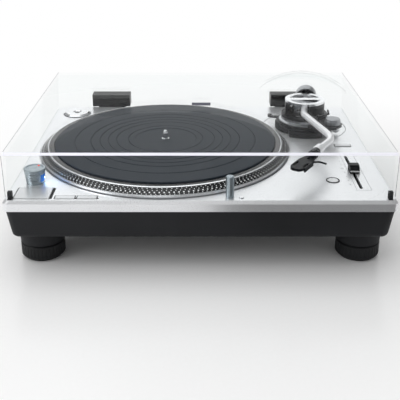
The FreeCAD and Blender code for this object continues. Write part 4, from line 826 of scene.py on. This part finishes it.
@dataclass
class Cover(Assembly):
    """The clear cover, its hinge sockets, its front bumpers and its bare rear plate.

    Attributes:
        plate_size: The bare plate's width, thickness and height.
        plate_middle: The middle of the bare plate, on the inside of the rear wall.
        edge_height: The height of the glowing strip of painted highlight along the front's
            top edge.
        edge_inset: How far that edge stays from the cover's ends.
        edge_lean: How far the front wall leans back at its top.
        line_width: The width of the strip of painted highlight and the lines of painted
            shade along the sheet's edges.
        side_place: How far a side's line lies beyond the front edge and below the roof.
        side_trim: How far it stays from the cover's front and rear.
        corner_place: How far a front corner's line lies beyond and behind the front edge.
        corner_width: Its width.
        corner_trim: How far it stays from the roof and the rim.
        dome_height: How far the dome rises above the top sheet.
    """

    surfaces = {Surface.CLEAR: ("dust_cover",), Surface.RUBBER: ("cover_bumpers",),
                Surface.BLACK_SATIN: ("hinge_sockets",)}
    plate_size: Vector = vector(29.4, 0.5, 4.9, unit=MM)
    plate_middle: Vector = vector(1.4, 159.9, 97.8, unit=MM)
    edge_height: float = 3.4 * MM
    edge_inset: float = 3.2 * MM
    edge_lean: float = 2.4 * MM
    line_width: float = 0.3 * MM
    side_place: tuple[float, float] = (0.1 * MM, 0.4 * MM)
    side_trim: float = 4.0 * MM
    corner_place: tuple[float, float] = (1.1 * MM, 0.2 * MM)
    corner_width: float = 0.5 * MM
    corner_trim: float = 3.0 * MM
    dome_height: float = 23.3 * MM

    def details(self) -> None:
        """Make the bare plate, the painted highlight and the lines of painted shade along
        the sheet's edges.
        """
        shape = bmesh.new()
        add_block(shape, self.plate_size, at(self.plate_middle), bevel=0.15 * MM)
        publish(shape, "bare_rear_plate", Surface.PLATE_VIOLET, "cover")
        self.edges()

    def edges(self) -> None:
        """Paint a glowing highlight along the front's top edge and painted shade along the
        sheet's other edges.
        """
        low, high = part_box("dust_cover")
        roof = high.z - self.dome_height
        half = high.x - self.edge_inset
        front = low.y + self.edge_lean
        shape = bmesh.new()
        add_block(shape, Vector((2.0 * half, self.line_width, self.edge_height)),
                  at((0.0, front - self.line_width / 2.0, roof - self.edge_height / 2.0)),
                  bevel=0.1 * MM)
        publish(shape, "cover_front_edge_painted_highlight", Surface.EDGE_PAINTED_HIGHLIGHT, "cover")
        # Grey lines of painted shade along the sheet's side edges and front corners.
        depth = high.y - front - 2.0 * self.side_trim
        fall = roof - low.z - 2.0 * self.corner_trim
        lean = Matrix.Rotation(math.atan2(self.edge_lean, fall), 4, "X")
        shape = bmesh.new()
        for side in (-1.0, 1.0):
            add_block(shape, Vector((self.line_width, depth, self.line_width)),
                      at((side * (half + self.side_place[0]),
                          front + self.side_trim + depth / 2.0, roof - self.side_place[1])))
            add_block(shape, Vector((self.corner_width, self.line_width, fall)),
                      at((side * (half + self.corner_place[0]),
                          front - self.edge_lean / 2.0 + self.corner_place[1],
                          roof - self.corner_trim - fall / 2.0)) @ lean)
        publish(shape, "cover_side_edge_painted_shade", Surface.LINE_GREY, "cover")


@dataclass
class Controls(Assembly):
    """The buttons, the pillar, the pop-up light, the adaptor and the pitch slide.

    Attributes:
        button_gap: The gap around a button.
        line_width: The width of the dark line of painted shade that edges it.
        line_rise: How far a painted line stands proud.
        slot_width: The width of the painted shade of the slot right of the start button.
        stop_width: The width of the dark stop right of a speed button.
        stop_share: Its depth, as a share of the button's.
        bar_depth: The depth of the bar of painted shade in front of the slim button.
        mark_start: The right end of the nearest scale mark.
        mark_spacing: How far apart the scale marks are.
        mark_count: How many there are.
        mark_lengths: The length of most marks, and of the middle one.
        mark_width: The marks' width.
        knob_slope: How far the pitch knob's front goes back, and up.
        stripe_place: How far in from the knob's front and down its stripe lies.
        stripe_size: The stripe's thickness and width.
        pillar_foot: The strobe pillar's radius at the plate.
        pillar_slope: How much it widens over its height.
        window_sides: How far the lens's inner and outer sides are from the pillar's.
        window_foot: How far above the plate the strobe's lens starts.
        window_height: The lens's height.
        window_start: The angle where the lens starts, counter-clockwise from the right.
        window_turn: The angle that it covers.
        spot_angle: Where the red lamp sits around the dial's axis.
        spot_radius: How far it is from that axis.
        spot_depth: How far its foot lies below the dial's top.
    """

    surfaces = {Surface.BUTTON_SILVER: ("start_button", "speed_button_33",
                                        "speed_button_45", "slim_button"),
                Surface.PRINT_WHITE: ("reset_button",),
                Surface.BLACK_SATIN: ("reset_ring", "pitch_knob", "pitch_fader"),
                Surface.BRIGHT_METAL: ("light_button", "record_adaptor"),
                Surface.PILLAR_METAL: ("stylus_light", "strobe_pillar", "power_dial"),
                Surface.LAMP_BLUE: ("strobe_lamp",), Surface.SILVER_PAINT: ("pitch_plate",)}
    button_gap: float = 0.5 * MM
    line_width: float = 0.5 * MM
    line_rise: float = 0.08 * MM
    slot_width: float = 2.4 * MM
    stop_width: float = 1.9 * MM
    stop_share: float = 0.3
    bar_depth: float = 1.8 * MM
    mark_start: Vector = vector(180.6, -138.0, unit=MM)
    mark_spacing: float = 12.2 * MM
    mark_count: int = 8
    mark_lengths: tuple[float, float] = (1.7 * MM, 4.2 * MM)
    mark_width: float = 0.7 * MM
    knob_slope: tuple[float, float] = (1.0, 4.6)
    stripe_place: tuple[float, float] = (0.55 * MM, 6.2 * MM)
    stripe_size: tuple[float, float] = (0.3 * MM, 1.9 * MM)
    pillar_foot: float = 10.6 * MM
    pillar_slope: float = 2.4 / 19.0
    window_sides: tuple[float, float] = (-0.2 * MM, 0.12 * MM)
    window_foot: float = 3.4 * MM
    window_height: float = 9.2 * MM
    window_start: float = math.radians(-44.0)
    window_turn: float = math.radians(62.0)
    spot_angle: float = math.radians(66.0)
    spot_radius: float = 8.4 * MM
    spot_depth: float = 0.6 * MM

    def details(self) -> None:
        """Make the lines, marks and lamps of the controls."""
        self.button_gap_shade()
        self.pitch_marks()
        self.knob_stripe()
        self.strobe_window()

    def mark(self, shape: Shape, x: float, y: float, length: float, depth: float) -> None:
        """Paint a straight mark on the plate.

        Args:
            shape: The mesh it joins.
            x: Its middle from left to right.
            y: Its middle from front to rear.
            length: Its length from left to right.
            depth: Its depth from front to rear.
        """
        add_block(shape, Vector((length, depth, self.line_rise)),
                  at((x, y, TOP + self.line_rise / 2.0)))

    def outline(self, shape: Shape, node: str, gap: float = 0.0) -> None:
        """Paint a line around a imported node.

        Args:
            shape: The mesh it joins.
            node: The node's name.
            gap: How far from the node the line lies.
        """
        low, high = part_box(node)
        x, y, width = (low.x + high.x) / 2.0, (low.y + high.y) / 2.0, self.line_width
        length, depth = high.x - low.x + 2.0 * gap, high.y - low.y + 2.0 * gap
        for side in (-0.5, 0.5):
            self.mark(shape, x + side * (length + width), y, width, depth + 2.0 * width)
            self.mark(shape, x, y + side * (depth + width), length, width)

    def button_gap_shade(self) -> None:
        """Paint shade into the gaps around the buttons, with a broad painted shade for the
        slot by the start button.
        """
        shape = bmesh.new()
        gap = self.button_gap
        for node in ("start_button", "speed_button_33", "speed_button_45", "slim_button"):
            self.outline(shape, node, gap)
        # The broad painted shade of the deep slot right of the start button.
        low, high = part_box("start_button")
        self.mark(shape, high.x + gap + self.line_width + self.slot_width / 2.0,
                  (low.y + high.y) / 2.0, self.slot_width, high.y - low.y)
        # A bar of painted shade along the slim button's front edge.
        low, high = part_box("slim_button")
        self.mark(shape, (low.x + high.x) / 2.0, low.y - gap - self.bar_depth / 2.0,
                  high.x - low.x, self.bar_depth)
        for node in ("speed_button_33", "speed_button_45"):
            low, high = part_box(node)
            depth = self.stop_share * (high.y - low.y)
            self.mark(shape, high.x + gap + self.stop_width / 2.0, low.y + depth / 2.0,
                      self.stop_width, depth)
        publish(shape, "button_gap_shade", Surface.PRINT_AND_SHADE_DARK, "plinth")

    def pitch_marks(self) -> None:
        """Outline the pitch plate and mark its scale."""
        shape = bmesh.new()
        self.outline(shape, "pitch_plate")
        publish(shape, "pitch_outline", Surface.LINE_GREY, "plinth")
        shape = bmesh.new()
        for step in range(self.mark_count):
            length = self.mark_lengths[step == self.mark_count // 2]
            self.mark(shape, self.mark_start.x - length / 2.0,
                      self.mark_start.y + step * self.mark_spacing, length, self.mark_width)
        publish(shape, "pitch_scale", Surface.PRINT_AND_SHADE_DARK, "plinth")

    def knob_stripe(self) -> None:
        """Lay the bright stripe along the pitch knob's slanted front."""
        low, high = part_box("pitch_knob")
        thickness, width = self.stripe_size
        middle = at(((low.x + high.x) / 2.0, low.y + self.stripe_place[0],
                     high.z - self.stripe_place[1]))
        lean = Matrix.Rotation(-math.atan2(*self.knob_slope), 4, "X")
        shape = bmesh.new()
        add_block(shape, Vector((high.x - low.x - 2.0 * thickness, thickness, width)),
                  middle @ lean, bevel=0.06 * MM)
        publish(shape, "pitch_knob_stripe", Surface.BRIGHT_METAL, "pitch_knob")

    def strobe_window(self) -> None:
        """Wrap the strobe's blue lens around its pillar and set the dial's red lamp."""
        inner, outer = self.window_sides
        low, high = self.window_foot, self.window_foot + self.window_height
        profile = [(self.pillar_foot + self.pillar_slope * height + side, TOP + height)
                   for side, height in ((inner, low), (outer, low), (outer, high),
                                        (inner, high))]
        shape = bmesh.new()
        add_arc(shape, profile, at((PILLAR.x, PILLAR.y, 0.0)), self.window_start,
                self.window_turn, steps=24)
        publish(shape, "strobe_window", Surface.LAMP_BLUE, "plinth")
        spot = at((PILLAR.x, PILLAR.y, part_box("power_dial")[1].z - self.spot_depth),
                  self.spot_angle) @ Matrix.Translation((self.spot_radius, 0.0, 0.0))
        shape = bmesh.new()
        add_peg(shape, radius=1.3 * MM, top=1.1 * MM, height=0.5 * MM,
                place=at(spot.translation), sides=16)
        publish(shape, "power_lamp", Surface.LAMP_RED, "power_dial")


@dataclass
class Tonearm(Assembly):
    """The arm with its base, rings, bearings, weight, lever, dial and rest.

    Attributes:
        height_marks: How many lines the height ring carries.
        height_every: How many of them go to a long one.
        height_neck: The radius of the side that carries them.
        height_drop: How far their tops lie below the ring's top.
        long_mark: A long line's depth, width and height.
        short_mark: A short line's depth, width and height.
        dial_marks: How many marks the anti-skate dial carries.
        dial_radius: How far they are from the dial's axis.
        dial_mark: A mark's length, width and height, which is half sunk.
    """

    surfaces = {Surface.ARM_BLACK: ("arm_base", "arm_turret", "headshell"),
                Surface.BLACK_SATIN: ("height_lock_ring", "scale_ring", "lift_bar",
                                      "arm_rest", "arm_clamp"),
                Surface.SCALE_SILVER: ("height_ring",),
                Surface.BRIGHT_METAL: ("yoke_top_ring", "gimbal_ring", "cue_lever"),
                Surface.ARM_SILVER: ("bearing_block", "arm_tube", "locking_collar"),
                Surface.WEIGHT_METAL: ("counterweight", "counterweight_bush",
                                       "antiskate_dial")}
    height_marks: int = 60
    height_every: int = 5
    height_neck: float = 33.1 * MM
    height_drop: float = 0.2 * MM
    long_mark: Vector = vector(0.16, 0.35, 2.4, unit=MM)
    short_mark: Vector = vector(0.16, 0.35, 1.5, unit=MM)
    dial_marks: int = 12
    dial_radius: float = 7.9 * MM
    dial_mark: Vector = vector(2.0, 0.4, 0.1, unit=MM)

    def details(self) -> None:
        """Mark the height ring's side and the anti-skate dial's top."""
        sizes = [self.short_mark if step % self.height_every else self.long_mark
                 for step in range(self.height_marks)]
        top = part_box("height_ring")[1].z - self.height_drop
        shape = bmesh.new()
        add_marks(shape, Vector((PIVOT.x, PIVOT.y, top)), self.height_neck, sizes)
        publish(shape, "height_marks", Surface.PRINT_AND_SHADE_DARK, "height_ring")
        dial = node_middle("antiskate_dial")
        dial.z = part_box("antiskate_dial")[1].z + self.dial_mark.z / 2.0
        shape = bmesh.new()
        add_marks(shape, dial, self.dial_radius, [self.dial_mark] * self.dial_marks)
        publish(shape, "antiskate_marks", Surface.PRINT_AND_SHADE_DARK, "antiskate_dial")


@dataclass
class Studio:
    """The pale floor, the soft lamps, the light around them and the camera.

    Attributes:
        pitch: How far the camera looks down, in degrees.
        eye: Where the camera stands.
        focal: Its focal length, in pixels of the photograph.
        middle: The pixel that it looks straight at.
        sky: How bright the light all round is on the object.
        seen_sky: How bright it is in polished pieces.
        card_low: The nearest left corner of the dark card on the floor.
        card_high: Its farthest right corner.
        fade: How far out the floor starts to turn white, and where it is white.
        floor_reach: How far the floor reaches to each side.
        aim: The point that the large lamps face.
        glow_place: Where the small lamp in the strobe's lens hangs, from the pillar's
            right side, its middle and the plate.
        glow_aim: The way it shines.
        glow_colour: Its colour.
    """

    pitch: float = 20.0
    eye: Vector = vector(-0.0001, -0.9263, 0.4435)
    focal: float = 719.5
    middle: tuple[float, float] = (200.2, 133.5)
    sky: float = 0.5
    seen_sky: float = 0.25
    card_low: Vector = vector(0.02, -0.95, 0.002)
    card_high: Vector = vector(0.75, -0.24, 0.002)
    fade: tuple[float, float] = (0.34, 0.62)
    floor_reach: float = 12.0
    aim: Vector = vector(0.0, 0.0, 0.1)
    glow_place: Vector = vector(-1.0, -2.0, 8.0, unit=MM)
    glow_aim: Vector = vector(1.0, 0.1, -0.2)
    glow_colour: Colour = (0.2, 0.5, 1.0)

    def floor(self) -> None:
        """Lay the pale floor that keeps the object's shadow and runs out into white."""
        tree = Tree("studio_floor")
        place = tree.coords()
        grain = tree.noise(place, grain=4.0 * MM)
        tree.set(Base_Color=tree.between(grain, (0.93, 0.93, 0.93), (0.96, 0.96, 0.96)),
                 Roughness=0.22, IOR=1.35)
        away = tree.spread(tree.radius(place), 0.0, 1.0, *self.fade)
        tree.blend(away, "ShaderNodeEmission", WHITE)
        shape = bmesh.new()
        bmesh.ops.create_grid(shape, x_segments=1, y_segments=1, size=self.floor_reach)
        place_mesh(shape, "studio_floor", tree.material)

    def surroundings(self) -> None:
        """Fill the room with plain light, white where the camera sees it."""
        world = bpy.data.worlds.new("studio_room")
        bpy.context.scene.world = world
        world.use_nodes = True
        room = Nodes(world.node_tree)
        path = room.add("ShaderNodeLightPath").outputs
        strength = room.add("ShaderNodeMix", {0: path["Is Glossy Ray"], 2: self.sky,
                                              3: self.seen_sky})
        clear = room.add("ShaderNodeMath", {0: path["Is Camera Ray"],
                                            1: path["Is Transmission Ray"]},
                         operation="MAXIMUM")
        seen = room.add("ShaderNodeMix", {0: clear.outputs["Value"],
                                          2: strength.outputs[0], 3: 1.0})
        light = room.add("ShaderNodeBackground", {"Color": WHITE,
                                                  "Strength": seen.outputs[0]})
        room.add("ShaderNodeOutputWorld", {"Surface": light.outputs["Background"]})

    def dark_card(self) -> None:
        """Lay the dark card that only polished pieces see, and only from above."""
        tree = Tree("dark_card")
        place = tree.coords()
        grain = tree.noise(place, grain=20.0 * MM)
        black = tree.between(grain, (0.012, 0.012, 0.013), (0.02, 0.02, 0.022))
        tree.set(Base_Color=black, Roughness=0.9)
        below = tree.add("ShaderNodeNewGeometry").outputs["Backfacing"]
        tree.blend(below, "ShaderNodeBsdfTransparent", WHITE)
        size = self.card_high - self.card_low
        shape = bmesh.new()
        bmesh.ops.create_grid(shape, x_segments=1, y_segments=1, size=0.5)
        bmesh.ops.scale(shape, vec=(size.x, size.y, 1.0), verts=shape.verts)
        bmesh.ops.translate(shape, vec=(self.card_low + self.card_high) / 2.0,
                            verts=shape.verts)
        card = place_mesh(shape, "dark_card", tree.material)
        card.visible_camera = False
        card.visible_diffuse = False
        card.visible_transmission = False
        card.visible_shadow = False

    def lamp(self, name: str, place: Vector, aim: Vector, size: float, power: float,
             colour: Colour = WHITE) -> bpy.types.Object:
        """Hang a soft square lamp.

        Args:
            name: The lamp's name.
            place: Where it hangs.
            aim: The point that it faces.
            size: Its side.
            power: Its power, in watts.
            colour: The colour of its light.

        Returns:
            The lamp.
        """
        light = bpy.data.lights.new(name, "AREA")
        light.size = size
        light.energy = power
        light.color = colour
        holder = bpy.data.objects.new(name, light)
        bpy.context.scene.collection.objects.link(holder)
        holder.location = place
        holder.rotation_euler = (aim - place).to_track_quat("-Z", "Y").to_euler()
        return holder

    def camera(self) -> None:
        """Stand the camera where the photograph was taken from."""
        lens = bpy.data.cameras.new("camera")
        lens.sensor_width = 36.0
        lens.lens = self.focal / PHOTO_PIXELS * lens.sensor_width
        lens.shift_x = (PHOTO_PIXELS / 2.0 - self.middle[0]) / PHOTO_PIXELS
        lens.shift_y = (self.middle[1] - PHOTO_PIXELS / 2.0) / PHOTO_PIXELS
        lens.clip_start = 0.01
        camera = bpy.data.objects.new("camera", lens)
        bpy.context.scene.collection.objects.link(camera)
        camera.location = self.eye
        camera.rotation_euler = (math.radians(90.0 - self.pitch), 0.0, 0.0)
        bpy.context.scene.camera = camera

    def build(self) -> None:
        """Set up the floor, the light and the camera."""
        bpy.context.scene.view_settings.view_transform = "Standard"
        self.floor()
        self.dark_card()
        self.surroundings()
        for name, place, size, power in (("overhead_lamp", (-0.3, 0.2, 1.6), 1.8, 13.0),
                                         ("left_lamp", (-1.5, -0.8, 0.9), 1.0, 8.0),
                                         ("rear_lamp", (0.0, 2.6, 1.15), 2.4, 15.0)):
            self.lamp(name, Vector(place), self.aim, size, power)
        self.strobe_glow()
        self.camera()

    def strobe_glow(self) -> None:
        """Hang the small blue lamp that shines out of the strobe's lens."""
        side = PILLAR.x + node_radius("strobe_pillar")
        window = Vector((side, PILLAR.y, TOP)) + self.glow_place
        glow = self.lamp("strobe_glow", window, window + self.glow_aim, size=5.0 * MM,
                         power=0.02, colour=self.glow_colour)
        glow.visible_glossy = False


def main() -> None:
    """Build the record player and its studio."""
    logging.basicConfig(level=logging.INFO, format="%(name)s: %(message)s")
    for assembly in (Plinth(), Platter(), Cover(), Controls(), Tonearm()):
        assembly.build()
    Studio().build()


if __name__ == "__main__":
    main()
